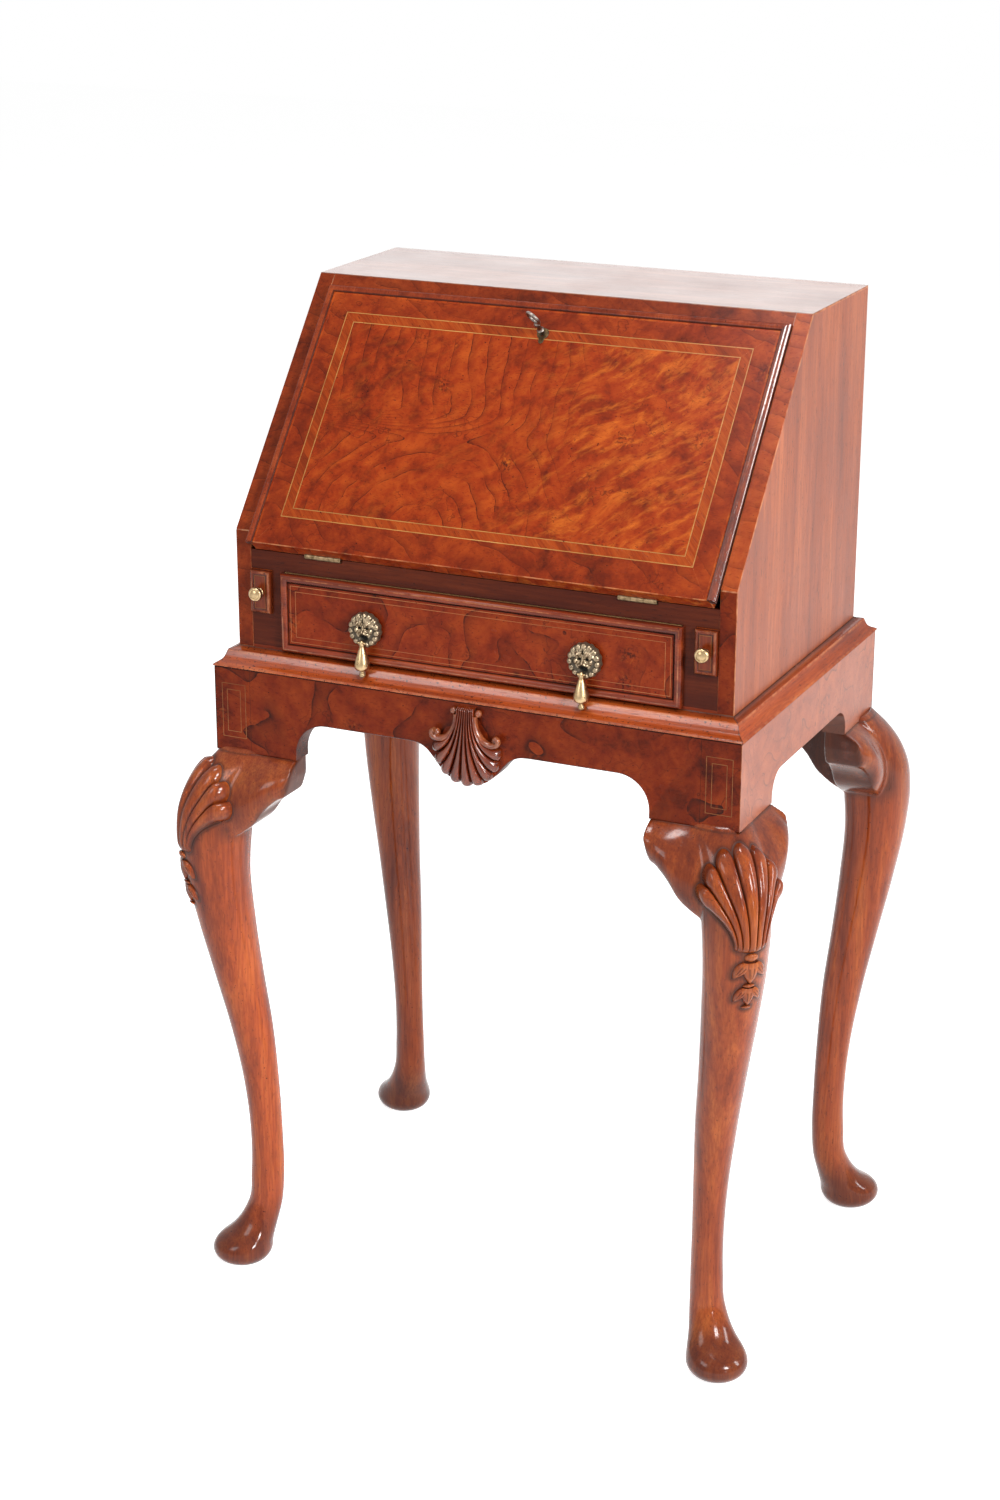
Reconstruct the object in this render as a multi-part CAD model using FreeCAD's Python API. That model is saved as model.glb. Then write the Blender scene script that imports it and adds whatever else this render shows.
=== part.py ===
import FreeCAD, Part
import math
import os

# A fall-front writing bureau on a stand with four cabriole legs.
# Millimetres. The origin is on the floor under the middle of the stand.
# X runs to the right as seen from the front, Y to the back and Z up.

# Stand, which reaches past the case on every side
stand_side_reach = 16.65
stand_front_reach = 21.25
leg_height = 563.4
frieze_height = 85.7
post_size = 45.0
apron_thickness = 24.0
front_apron_foot = 43.4
front_arch_height = 39.6
front_drop_half_width = 62.0
front_drop_depth = 37.0
side_apron_foot = 40.5
side_arch_height = 28.6
arch_corner_share = 0.82
front_drop_shares = ((1.0, 0.0), (0.84, 0.11), (0.68, 0.35), (0.55, 0.51), (0.32, 0.84), (0.0, 1.0))

# Cabriole leg: shares of leg height, of knee reach for the outer and inner line, and of knee width,
# with the roundness of the section, from a square set on its corner at 1 to an ellipse at 2.
knee_reach = 43.0
knee_width = 66.0
leg_section_points = 16
front_leg_shift = -3.5
back_leg_shift = 3.5
back_leg_rake = 11.0
leg_section_shares = (
    (1.008, -0.09, -1.22, 0.77, 1.25),
    (1.000, 0.02, -1.22, 0.86, 1.25),
    (0.980, 0.29, -1.14, 0.94, 1.35),
    (0.950, 0.61, -0.97, 0.98, 1.45),
    (0.905, 0.90, -0.79, 1.00, 1.50),
    (0.854, 1.00, -0.70, 1.00, 1.55),
    (0.786, 0.93, -0.62, 0.94, 1.60),
    (0.682, 0.65, -0.70, 0.83, 1.70),
    (0.573, 0.30, -0.86, 0.71, 1.80),
    (0.463, -0.05, -1.05, 0.62, 1.90),
    (0.351, -0.32, -1.16, 0.52, 2.0),
    (0.241, -0.44, -1.22, 0.47, 2.0),
    (0.167, -0.42, -1.23, 0.485, 2.0),
    (0.106, -0.32, -1.16, 0.54, 2.0),
    (0.060, 0.10, -0.99, 0.71, 2.0),
    (0.036, 0.51, -0.90, 0.88, 2.0),
    (0.018, 0.57, -0.87, 0.91, 2.0),
    (0.006, 0.48, -0.78, 0.80, 2.0),
    (0.000, 0.38, -0.68, 0.68, 2.0),
)

# Knee brackets: shares of bracket length from tip to leg, of bracket drop and of bracket bulge.
bracket_tip_thickness = 16.0
bracket_drop = 86.0
bracket_bulge = 26.0
bracket_thickness = 22.0
bracket_leg_inset = 17.0
bracket_station_shares = (
    (0.0, 0.0, 0.58),
    (0.06, 0.20, 0.66),
    (0.20, 0.31, 0.82),
    (0.40, 0.51, 0.97),
    (0.50, 0.66, 1.0),
    (0.73, 0.86, 1.0),
    (1.0, 1.0, 0.92),
)
bracket_lower_bulge_share = 0.8

# Carved shell on the front apron: half outline in shares of half width and of height from the foot.
shell_half_width = 38.0
shell_foot_rise = 2.6
shell_head_gap = 3.1
shell_relief = 9.0
shell_crown_share = 0.72
shell_outline_shares = (
    (0.0, 0.0), (0.38, 0.06), (0.68, 0.20), (0.92, 0.42), (1.0, 0.62),
    (0.88, 0.78), (0.58, 0.88), (0.30, 0.98), (0.0, 1.0),
)

# Moulding between stand and case: shares of its reach and of its height, foot to head.
moulding_height = 17.7
moulding_lip_proud = 1.5
moulding_seat_gap = 0.3
moulding_lip_shares = (1.0, 0.03)
moulding_curve_shares = (
    (0.97, 0.07), (0.88, 0.16), (0.72, 0.24), (0.60, 0.33), (0.52, 0.48), (0.46, 0.66), (0.42, 0.78)
)
moulding_bead_shares = ((0.42, 0.78), (0.38, 0.86), (0.30, 0.875))

# Case
case_width = 511.5
case_depth = 342.5
case_height = 333.2
case_front_height = 115.5
top_depth = 162.4
side_thickness = 16.0
top_thickness = 14.0
bottom_thickness = 14.0
back_thickness = 8.0
bed_thickness = 14.0
rail_depth = 26.0
partition_thickness = 12.9

# Fall
fall_thickness = 18.35
fall_proud = 7.0
fall_side_gap = 0.5
fall_foot_gap = 0.5
fall_top_gap = 0.6
case_strip_over_fall = 14.0
bead_width = 7.0
bead_depth = 8.0
bead_rounding = 3.0
fall_open_gap = 0.5

# Hinges between rail and fall
hinge_place = 161.0
hinge_length = 38.0
hinge_leaf_thickness = 2.0
hinge_rail_leaf_inset = 4.0
hinge_fall_leaf_depth = 34.0
knuckle_radius = 3.0
knuckle_gap = 0.3
pin_radius = 1.2
pin_running_gap = 0.05
hinge_screw_radius = 1.3
hinge_screw_head_radius = 2.6
hinge_screw_length = 8.0
hinge_screw_row_share = 0.62
hinge_screw_spread_share = 0.32

# Lock, bolt, key and keyhole plate
lock_width = 46.0
lock_height = 40.0
lock_depth = 8.0
lock_wall = 1.5
key_from_fall_top = 33.0
key_radius = 2.2
key_gap = 0.3
key_reach = 20.0
key_bow_radius = 7.5
key_bow_wire_radius = 1.5
key_bit_length = 6.0
key_bit_thickness = 2.0
key_bit_height = 4.5
key_room_gap = 1.0
bolt_width = 14.0
bolt_thickness = 3.6
bolt_gap = 0.4
bolt_throw = 6.0
bolt_end_gap = 0.5
escutcheon_thickness = 1.0
escutcheon_radius = 6.0
escutcheon_tail = 9.0

# Long drawer
drawer_open_gap = 1.15
lip_overlap = 2.0
lip_proud = 6.65
lip_gap = 0.3
lip_foot_gap = 0.5
lip_rounding = 3.0
drawer_gap = 0.8
drawer_foot_gap = 0.3
drawer_front_thickness = 14.0
drawer_board = 8.0
drawer_back_gap = 35.4
drawer_bottom_rise = 4.0
drawer_bottom_thickness = 5.0
drawer_side_drop = 6.0

# Lion-mask plates, their bolts and their drops
mask_place = 113.0
mask_height_share = 0.453
mask_radius = 16.5
mask_rim = 2.4
mask_dome_radius = 12.0
mask_dome_height = 8.0
muzzle_radius = 6.0
mouth_drop = 11.5
mouth_proud = 9.0
mouth_slot_gap = 0.6
drop_pin_radius = 1.1
drop_pin_length = 8.0
drop_eye_radius = 2.6
drop_eye_width = 3.4
drop_length = 26.5
drop_radius = 5.2
drop_outline_shares = (
    (0.0, -0.06), (0.26, -0.10), (0.24, -0.22), (0.42, -0.34), (0.80, -0.50), (1.0, -0.64),
    (0.92, -0.76), (0.60, -0.85), (0.28, -0.89), (0.34, -0.94), (0.22, -0.99), (0.0, -1.0),
)
mask_bolt_radius = 2.0
mask_nut_radius = 4.5
mask_nut_thickness = 3.0

# Lopers, the pull-out supports of the fall
loper_width = 21.55
loper_height = 43.2
loper_side_gap = 0.4
loper_foot_gap = 0.3
loper_back_gap = 49.5
loper_face_proud = 6.0
loper_face_chamfer = 2.0
loper_knob_radius = 6.0
loper_knob_neck_radius = 2.8
loper_knob_neck = 4.0
loper_knob_reach = 11.0
bearer_front_depth = 18.0
bearer_strip_share = 0.37

# Pigeonhole gallery and its two small drawers
gallery_setback = 14.4
gallery_board = 6.0
letter_shelf_height = 63.5
pigeonhole_count = 5
small_drawer_height = 46.0
small_drawer_gap = 0.5
small_drawer_wall = 5.0
small_drawer_front = 9.0
small_drawer_back_gap = 6.0
small_knob_radius = 5.0
small_knob_neck_radius = 2.2
small_knob_neck = 3.0
small_knob_reach = 10.0

# Length by which every cutting body runs past what it cuts
overrun = 2.0

# Places that follow from the sizes
half_case = case_width / 2
half_stand = half_case + stand_side_reach
half_stand_depth = case_depth / 2 + stand_front_reach
frieze_top = leg_height + frieze_height
case_foot = frieze_top + moulding_height
front_arch_half_span = half_stand - post_size - front_apron_foot
side_arch_half_span = half_stand_depth - post_size - side_apron_foot
shell_height = frieze_height - shell_foot_rise - shell_head_gap
case_front = -case_depth / 2
case_back = case_depth / 2
slope_start = case_foot + case_front_height
case_top = case_foot + case_height
slope_run = case_depth - top_depth
slope_rise = case_height - case_front_height
slope_length = math.hypot(slope_run, slope_rise)
slope_cos = slope_run / slope_length
slope_sin = slope_rise / slope_length
half_inside = half_case - side_thickness
top_underside = case_top - top_thickness
back_inside = case_back - back_thickness

fall_inner = fall_proud - fall_thickness
pivot_height = slope_start + fall_inner / slope_cos
pivot_up = (pivot_height - slope_start) * slope_sin
fall_foot = pivot_up + fall_foot_gap
fall_top = slope_length - case_strip_over_fall - fall_top_gap
half_fall = half_inside - fall_side_gap

bed_underside = pivot_height - bed_thickness
loper_top = pivot_height - fall_thickness - fall_open_gap
loper_foot = loper_top - loper_height
rail_underside = loper_top + loper_foot_gap
lip_top = pivot_height - fall_thickness - drawer_open_gap
lip_foot = case_foot + lip_foot_gap
bottom_top = lip_foot + lip_overlap
partition_outer = half_inside - loper_width - loper_side_gap - loper_side_gap
half_opening = partition_outer - partition_thickness
lip_half_width = half_opening + lip_overlap
rail_back = case_front + rail_depth
hinge_rail_leaf_depth = rail_depth - hinge_rail_leaf_inset

lip_back = case_front - lip_gap
lip_face = lip_back - lip_proud
mask_height = lip_foot + (lip_top - lip_foot) * mask_height_share
mouth_height = mask_height - mouth_drop
mouth_place = lip_face - mouth_proud
key_up = fall_top - key_from_fall_top
gallery_front = case_back - top_depth + gallery_setback
lower_shelf = pivot_height + small_drawer_height
upper_shelf = top_underside - letter_shelf_height - gallery_board


def point(x, y, z):
    """Make a point."""
    return FreeCAD.Vector(x, y, z)


def block(x_span, y_span, z_span):
    """Make a box between the two ends of each span."""
    size = [span[1] - span[0] for span in (x_span, y_span, z_span)]
    return Part.makeBox(size[0], size[1], size[2], point(x_span[0], y_span[0], z_span[0]))


def prism(corners, travel):
    """Push a closed outline of straight edges along a vector."""
    return Part.Face(Part.makePolygon(corners + corners[:1])).extrude(travel)


def across(profile, x_span):
    """Push a (y, z) outline across the width."""
    corners = [point(x_span[0], y, z) for y, z in profile]
    return prism(corners, point(x_span[1] - x_span[0], 0, 0))


def through(profile, y_span):
    """Push an (x, z) outline through the depth."""
    corners = [point(x, y_span[0], z) for x, z in profile]
    return prism(corners, point(0, y_span[1] - y_span[0], 0))


def curve(points):
    """Join points by one smooth edge."""
    spline = Part.BSplineCurve()
    spline.interpolate(points)
    return spline.toShape()


def line(start, end):
    """Join two points by a straight edge."""
    return Part.LineSegment(start, end).toShape()


def outline_face(edges):
    """Fill a closed run of edges."""
    return Part.Face(Part.Wire(Part.__sortEdges__(edges)))


def turned(profile, base, axis):
    """Turn a (radius, height) outline about an axis that starts at base."""
    corners = [point(radius, 0, height) for radius, height in profile]
    face = Part.Face(Part.makePolygon(corners + corners[:1]))
    solid = face.revolve(point(0, 0, 0), point(0, 0, 1), 360)
    solid.Placement = FreeCAD.Placement(base, FreeCAD.Rotation(point(0, 0, 1), axis))
    return solid


def mirrored(shape, flip_x, flip_y):
    """Mirror a shape about the middle planes."""
    if flip_x:
        shape = shape.mirror(point(0, 0, 0), point(1, 0, 0))
    if flip_y:
        shape = shape.mirror(point(0, 0, 0), point(0, 1, 0))
    return shape


def slope_point(x, up, out):
    """Give the point that lies up the slope from the case's front corner and out from its plane."""
    y = case_front + up * slope_cos - out * slope_sin
    z = slope_start + up * slope_sin + out * slope_cos
    return point(x, y, z)


def slope_block(x_span, up_span, out_span):
    """Make a box that lies along the slope."""
    places = [(up_span[0], out_span[0]), (up_span[1], out_span[0])]
    places += [(up_span[1], out_span[1]), (up_span[0], out_span[1])]
    corners = [slope_point(x_span[0], up, out) for up, out in places]
    return prism(corners, point(x_span[1] - x_span[0], 0, 0))


def group(solids):
    """Hold separate solids in one node."""
    return Part.makeCompound(solids)


def save(node, shape):
    """Write one node."""
    shape.exportStep("parts/" + node + ".step")


# Leg with its corner post, at the right back corner
def leg_section(row, shift, rake):
    """Make one cross section of the leg, from a row of shares, shifted sideways and raked to the back."""
    height, outer, inner, width, roundness = row
    diagonal = point(1, 1, 0).normalize()
    crosswise = point(-1, 1, 0).normalize()
    middle = (outer + inner) / 2 * knee_reach
    half_long = (outer - inner) / 2 * knee_reach
    half_wide = width / 2 * knee_width
    lean = rake * (1 - height) ** 2
    centre = point(half_stand + shift, half_stand_depth + lean, height * leg_height) + diagonal * middle
    points = []
    for index in range(leg_section_points):
        angle = 2 * math.pi * index / leg_section_points
        long_part = math.copysign(abs(math.cos(angle)) ** (2 / roundness), math.cos(angle))
        wide_part = math.copysign(abs(math.sin(angle)) ** (2 / roundness), math.sin(angle))
        points.append(centre + diagonal * (half_long * long_part) + crosswise * (half_wide * wide_part))
    spline = Part.BSplineCurve()
    spline.interpolate(points, PeriodicFlag=True)
    return Part.Wire(spline.toShape())


def leg_with_post(shift, rake):
    """Make the cabriole leg and the square post above it as one piece."""
    leg = Part.makeLoft([leg_section(row, shift, rake) for row in leg_section_shares], True, False)
    post = block(
        (half_stand - post_size, half_stand),
        (half_stand_depth - post_size, half_stand_depth),
        (leg_height, frieze_top),
    )
    return leg.fuse(post)


def bracket_section(share_row, tip, length, face):
    """Make one cross section of a knee bracket, square to its run."""
    along_share, drop_share, bulge_share = share_row
    run = tip + length * along_share
    foot = leg_height - bracket_tip_thickness - (bracket_drop - bracket_tip_thickness) * drop_share
    bulge = bracket_bulge * bulge_share
    top_back = point(run, face - bracket_thickness, leg_height)
    top_front = point(run, face, leg_height)
    middle = point(run, face + bulge, (leg_height + foot) / 2)
    foot_front = point(run, face + bulge * bracket_lower_bulge_share, foot)
    foot_back = point(run, face - bracket_thickness, foot)
    edges = [line(top_back, top_front), curve([top_front, middle, foot_front])]
    edges += [line(foot_front, foot_back), line(foot_back, top_back)]
    return Part.Wire(edges)


def bracket(tip, half_run, face):
    """Make the bracket beside a leg, running along X, with its end inside the leg."""
    length = half_run - bracket_leg_inset - tip
    sections = [bracket_section(row, tip, length, face) for row in bracket_station_shares]
    return Part.makeLoft(sections, True, False)


def trimmed(shape, leg):
    """Cut a bracket back to the leg and keep its one large piece."""
    rest = shape.cut(leg)
    return max(rest.Solids, key=lambda solid: solid.Volume)


def swap_xy(shape):
    """Exchange the two level directions."""
    return shape.mirror(point(0, 0, 0), point(1, -1, 0).normalize())


def stand():
    """Make legs, brackets, aprons, shell and moulding."""
    front_bracket = bracket(front_arch_half_span, half_stand, half_stand_depth)
    side_bracket = swap_xy(bracket(side_arch_half_span, half_stand_depth, half_stand))
    rows = (("front", True, front_leg_shift, 0), ("back", False, back_leg_shift, back_leg_rake))
    for depth_name, flip_y, shift, rake in rows:
        leg = leg_with_post(shift, rake)
        pair = [trimmed(front_bracket, leg), trimmed(side_bracket, leg)]
        brackets = []
        for side_name, flip_x in (("left", True), ("right", False)):
            save("leg_" + depth_name + "_" + side_name, mirrored(leg, flip_x, flip_y))
            brackets += [mirrored(piece, flip_x, flip_y) for piece in pair]
        save("knee_brackets_" + depth_name, group(brackets))
    save("front_apron", front_apron())
    side = side_apron()
    save("right_apron", side)
    save("left_apron", mirrored(side, True, False))
    save("back_apron", back_apron())
    save("apron_shell", apron_shell())
    for name, piece in moulding_runs().items():
        save("moulding_" + name, piece)


def arched_board(half_end, half_span, height, drop_points, place):
    """Fill the outline of an apron, where place puts a (half place, height) pair in space."""
    corner = height * arch_corner_share
    crown = leg_height + height
    inner = half_span - corner
    spring = crown - corner
    haunch = math.sqrt(1 / 2) * corner
    straight = [(half_end, frieze_top), (half_end, leg_height), (half_span, leg_height), (half_span, spring)]
    arc = [(half_span, spring), (inner + haunch, spring + haunch), (inner, crown)]
    edges = [line(place(-half_end, frieze_top), place(half_end, frieze_top))]
    for sign in (-1, 1):
        run = [place(sign * along, up) for along, up in straight]
        edges += [line(start, end) for start, end in zip(run, run[1:])]
        bend = [place(sign * along, up) for along, up in arc]
        edges.append(Part.Arc(bend[0], bend[1], bend[2]).toShape())
    if drop_points:
        drop_end = drop_points[0][0]
        for sign in (-1, 1):
            edges.append(line(place(sign * inner, crown), place(sign * drop_end, crown)))
        left = [place(-along, up) for along, up in drop_points]
        right = [place(along, up) for along, up in reversed(drop_points[:-1])]
        edges.append(curve(left + right))
    else:
        edges.append(line(place(-inner, crown), place(inner, crown)))
    return outline_face(edges)


def front_apron():
    """Make the front apron with its arches and its middle drop."""
    crown = leg_height + front_arch_height
    drop = []
    for along_share, down_share in front_drop_shares:
        drop.append((front_drop_half_width * along_share, crown - front_drop_depth * down_share))
    face = arched_board(
        half_stand - post_size,
        front_arch_half_span,
        front_arch_height,
        drop,
        lambda along, up: point(along, -half_stand_depth, up),
    )
    return face.extrude(point(0, apron_thickness, 0))


def side_apron():
    """Make the right apron with its arch."""
    face = arched_board(
        half_stand_depth - post_size,
        side_arch_half_span,
        side_arch_height,
        [],
        lambda along, up: point(half_stand, along, up),
    )
    return face.extrude(point(-apron_thickness, 0, 0))


def back_apron():
    """Make the plain back apron."""
    half_length = half_stand - post_size
    inner = half_stand_depth - apron_thickness
    foot = leg_height
    return block((-half_length, half_length), (inner, half_stand_depth), (foot, frieze_top))


def shell_wire(scale_share, place):
    """Make the shell's outline at one depth of its relief."""
    foot = leg_height + shell_foot_rise
    middle = foot + shell_height / 2
    half = []
    for across_share, up_share in shell_outline_shares:
        height = foot + shell_height * up_share
        half.append((shell_half_width * across_share * scale_share, middle + (height - middle) * scale_share))
    right = [point(x, place, z) for x, z in half]
    left = [point(-x, place, z) for x, z in half]
    edges = [curve(right), curve(left)]
    return Part.Wire(Part.__sortEdges__(edges))


def apron_shell():
    """Make the raised body of the carved shell."""
    wires = [shell_wire(1, -half_stand_depth), shell_wire(shell_crown_share, -half_stand_depth - shell_relief)]
    return Part.makeLoft(wires, True, True)


def moulding_profile(reach, place):
    """Fill the moulding's section, where place puts an (outward, height) pair in space."""
    def at(shares):
        """Put a pair of shares in space."""
        return place(moulding_seat_gap + reach * shares[0], frieze_top + moulding_height * shares[1])

    lip_out, lip_up = moulding_lip_shares
    corners = [(0, 1), (0, 0), (lip_out, 0), (lip_out, lip_up), moulding_curve_shares[0]]
    edges = [line(at(start), at(end)) for start, end in zip(corners, corners[1:])]
    edges.append(curve([at(shares) for shares in moulding_curve_shares]))
    bead = [at(shares) for shares in moulding_bead_shares]
    edges.append(Part.Arc(bead[0], bead[1], bead[2]).toShape())
    edges.append(line(bead[2], at((0, 1))))
    return outline_face(edges)


def moulding_runs():
    """Make the four mitred runs of the moulding."""
    inner = (half_case + moulding_seat_gap, case_back + moulding_seat_gap)
    outer = (half_stand + moulding_lip_proud, half_stand_depth + moulding_lip_proud)
    end = outer[0] + overrun
    floor = frieze_top - overrun
    rise = point(0, 0, moulding_height + overrun + overrun)
    lean = (outer[0] - inner[0]) / (outer[1] - inner[1])
    far = (outer[0] + overrun * lean, outer[1] + overrun)
    near = (inner[0] - overrun * lean, inner[1] - overrun)
    front_plan = [point(-far[0], -far[1], floor), point(far[0], -far[1], floor)]
    front_plan += [point(near[0], -near[1], floor), point(-near[0], -near[1], floor)]
    side_plan = [point(far[0], -far[1], floor), point(far[0], far[1], floor)]
    side_plan += [point(near[0], near[1], floor), point(near[0], -near[1], floor)]
    front_face = moulding_profile(outer[1] - inner[1], lambda out, up: point(-end, case_front - out, up))
    front = front_face.extrude(point(end + end, 0, 0)).common(prism(front_plan, rise))
    side_face = moulding_profile(outer[0] - inner[0], lambda out, up: point(half_case + out, -end, up))
    right = side_face.extrude(point(0, end + end, 0)).common(prism(side_plan, rise))
    left = mirrored(right, True, False)
    back = mirrored(front, False, True)
    return {"front": front, "back": back, "left": left, "right": right}


# Case
def case_boards():
    """Make sides, top, bottom and back of the case."""
    slope = [(case_front, frieze_top), (case_front, slope_start), (case_back - top_depth, case_top)]
    slope += [(case_back, case_top), (case_back, frieze_top)]
    edge = [(half_case, frieze_top), (half_case, case_top)]
    edge += [(half_inside, top_underside), (half_inside, frieze_top)]
    side = across(slope, (half_inside, half_case)).common(through(edge, (case_front, case_back)))
    save("case_side_right", side)
    save("case_side_left", mirrored(side, True, False))

    nose_up = fall_top + fall_top_gap
    nose = slope_point(0, nose_up, 0)
    nose_out = (top_underside - slope_start - nose_up * slope_sin) / slope_cos
    nose_back = slope_point(0, nose_up, nose_out)
    top_profile = [(case_back, case_top), (case_back - top_depth, case_top), (nose.y, nose.z)]
    top_profile += [(nose_back.y, nose_back.z), (case_back, top_underside)]
    mitre = [(-half_case, case_top), (half_case, case_top)]
    mitre += [(half_inside, top_underside), (-half_inside, top_underside)]
    top = across(top_profile, (-half_case, half_case)).common(through(mitre, (case_front, case_back)))
    save("case_top", top.cut(bolt_room(nose_up - overrun, fall_top + bolt_throw + bolt_gap)))

    inside = (-half_inside, half_inside)
    save("case_bottom", block(inside, (case_front, back_inside), (bottom_top - bottom_thickness, bottom_top)))
    save("case_back", block(inside, (back_inside, case_back), (frieze_top, top_underside)))


def case_inside():
    """Make the rail, the writing bed and what carries drawer and lopers."""
    inside = (-half_inside, half_inside)
    rail = block(inside, (case_front, rail_back), (rail_underside, pivot_height))
    save("front_rail", rail.cut(group(knuckle_rooms() + hinge_leaf_blanks("rail") + hinge_screws("rail"))))
    save("writing_bed", block(inside, (rail_back, back_inside), (bed_underside, pivot_height)))

    partition = [(case_front, bottom_top), (case_front, rail_underside), (rail_back, rail_underside)]
    partition += [(rail_back, bed_underside), (back_inside, bed_underside), (back_inside, bottom_top)]
    right_partition = across(partition, (half_opening, partition_outer))
    bearer_top = loper_foot - loper_foot_gap
    strip_foot = bearer_top - (bearer_top - bottom_top) * bearer_strip_share
    bearer = [(case_front, bottom_top), (case_front, bearer_top), (back_inside, bearer_top)]
    bearer += [(back_inside, strip_foot), (case_front + bearer_front_depth, strip_foot)]
    bearer += [(case_front + bearer_front_depth, bottom_top)]
    right_bearer = across(bearer, (partition_outer, half_inside))
    for side_name, flip_x in (("left", True), ("right", False)):
        save("partition_" + side_name, mirrored(right_partition, flip_x, False))
        save("loper_bearer_" + side_name, mirrored(right_bearer, flip_x, False))


# Hinges
def hinge_centres():
    """Give the middles of the two hinges across the width."""
    return (-hinge_place, hinge_place)


def barrel(x_span, radius):
    """Make a cylinder along the fall's axis."""
    return Part.makeCylinder(radius, x_span[1] - x_span[0], point(x_span[0], case_front, pivot_height), point(1, 0, 0))


def knuckle_rooms():
    """Make the rooms that rail and fall leave round the knuckles."""
    half = hinge_length / 2 + knuckle_gap
    radius = knuckle_radius + knuckle_gap
    return [barrel((middle - half, middle + half), radius) for middle in hinge_centres()]


def hinge_leaf_blanks(owner):
    """Make the plain leaves, which are also the recesses they lie in."""
    half = hinge_length / 2
    blanks = []
    for middle in hinge_centres():
        span = (middle - half, middle + half)
        if owner == "rail":
            depth = (case_front, case_front + hinge_rail_leaf_depth)
            blanks.append(block(span, depth, (pivot_height - hinge_leaf_thickness, pivot_height)))
        else:
            reach = (pivot_up, pivot_up + hinge_fall_leaf_depth)
            blanks.append(slope_block(span, reach, (fall_inner, fall_inner + hinge_leaf_thickness)))
    return blanks


def hinge_screws(owner):
    """Make the countersunk screws of one leaf of each hinge."""
    head = hinge_leaf_thickness
    profile = [(0, 0), (hinge_screw_head_radius, 0), (hinge_screw_radius, -head)]
    profile += [(hinge_screw_radius, -hinge_screw_length), (0, -hinge_screw_length)]
    screws = []
    for middle in hinge_centres():
        for sign in (-1, 1):
            x = middle + sign * hinge_screw_spread_share * hinge_length
            if owner == "rail":
                base = point(x, case_front + hinge_rail_leaf_depth * hinge_screw_row_share, pivot_height)
                axis = point(0, 0, 1)
            else:
                base = slope_point(x, pivot_up + hinge_fall_leaf_depth * hinge_screw_row_share, fall_inner)
                axis = point(0, slope_sin, -slope_cos)
            screws.append(turned(profile, base, axis))
    return screws


def hinge_leaves(owner):
    """Make the leaves with their barrels: the middle third on the rail leaf, the ends on the fall leaf."""
    half_core = hinge_length / 6
    half = hinge_length / 2
    leaves = []
    for middle, blank in zip(hinge_centres(), hinge_leaf_blanks(owner)):
        span = (middle - half, middle + half)
        ends = [(middle - half, middle - half_core), (middle + half_core, middle + half)]
        core = [(middle - half_core + knuckle_gap, middle + half_core - knuckle_gap)]
        own = core if owner == "rail" else ends
        others = ends if owner == "rail" else core
        leaf = blank.fuse([barrel(part, knuckle_radius) for part in own])
        radius = knuckle_radius + knuckle_gap
        rooms = [barrel((part[0] - knuckle_gap, part[1] + knuckle_gap), radius) for part in others]
        bore_radius = pin_radius if owner == "rail" else pin_radius + pin_running_gap
        leaf = leaf.cut(group(rooms))
        leaf = leaf.cut(barrel((span[0] - overrun, span[1] + overrun), bore_radius))
        leaves.append(max(leaf.cut(group(hinge_screws(owner))).Solids, key=lambda solid: solid.Volume))
    return leaves


def hinge_pins():
    """Make the pins through the knuckles."""
    half = hinge_length / 2
    return [barrel((middle - half, middle + half), pin_radius) for middle in hinge_centres()]


def hinges():
    """Save both leaves, pins and screws."""
    save("hinge_rail_leaves", group(hinge_leaves("rail")))
    save("hinge_rail_screws", group(hinge_screws("rail")))
    save("hinge_pins", group(hinge_pins()))
    save("hinge_fall_leaves", group(hinge_leaves("fall")))
    save("hinge_fall_screws", group(hinge_screws("fall")))


# Fall, lock and key
def bolt_middle():
    """Give how far out from the slope the bolt's middle lies."""
    return fall_inner + lock_depth - lock_wall - bolt_gap - bolt_thickness / 2


def bolt_room(up_foot, up_head):
    """Make the room round the bolt between two heights on the slope."""
    half = bolt_width / 2 + bolt_gap
    deep = bolt_thickness / 2 + bolt_gap
    middle = bolt_middle()
    return slope_block((-half, half), (up_foot, up_head), (middle - deep, middle + deep))


def lock_block():
    """Make the outside of the lock, which is also its recess."""
    head = key_up + lock_height / 2
    foot = key_up - lock_height / 2
    return slope_block((-lock_width / 2, lock_width / 2), (foot, head), (fall_inner, fall_inner + lock_depth))


def key_turning(profile):
    """Turn an outline about the key's axis, measured out from the slope."""
    return turned(profile, slope_point(0, key_up, 0), point(0, -slope_sin, slope_cos))


def key_hole(foot, head):
    """Make the round hole for the key."""
    radius = key_radius + key_gap
    return key_turning([(0, foot), (radius, foot), (radius, head), (0, head)])


def bead_runs():
    """Make the raised bead on three edges of the fall, mitred at the corners."""
    inner = half_fall - bead_width
    head = fall_top - bead_width
    foot = fall_proud - bead_depth
    side_plan = [(half_fall, fall_foot), (half_fall, fall_top), (inner, head), (inner, fall_foot)]
    top_plan = [(half_fall, fall_top), (-half_fall, fall_top), (-inner, head), (inner, head)]
    outward = point(0, -slope_sin, slope_cos) * bead_depth
    right = prism([slope_point(x, up, foot) for x, up in side_plan], outward)
    top = prism([slope_point(x, up, foot) for x, up in top_plan], outward)
    return [bead_rounded(right), bead_rounded(mirrored(right, True, False)), bead_rounded(top)]


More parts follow.
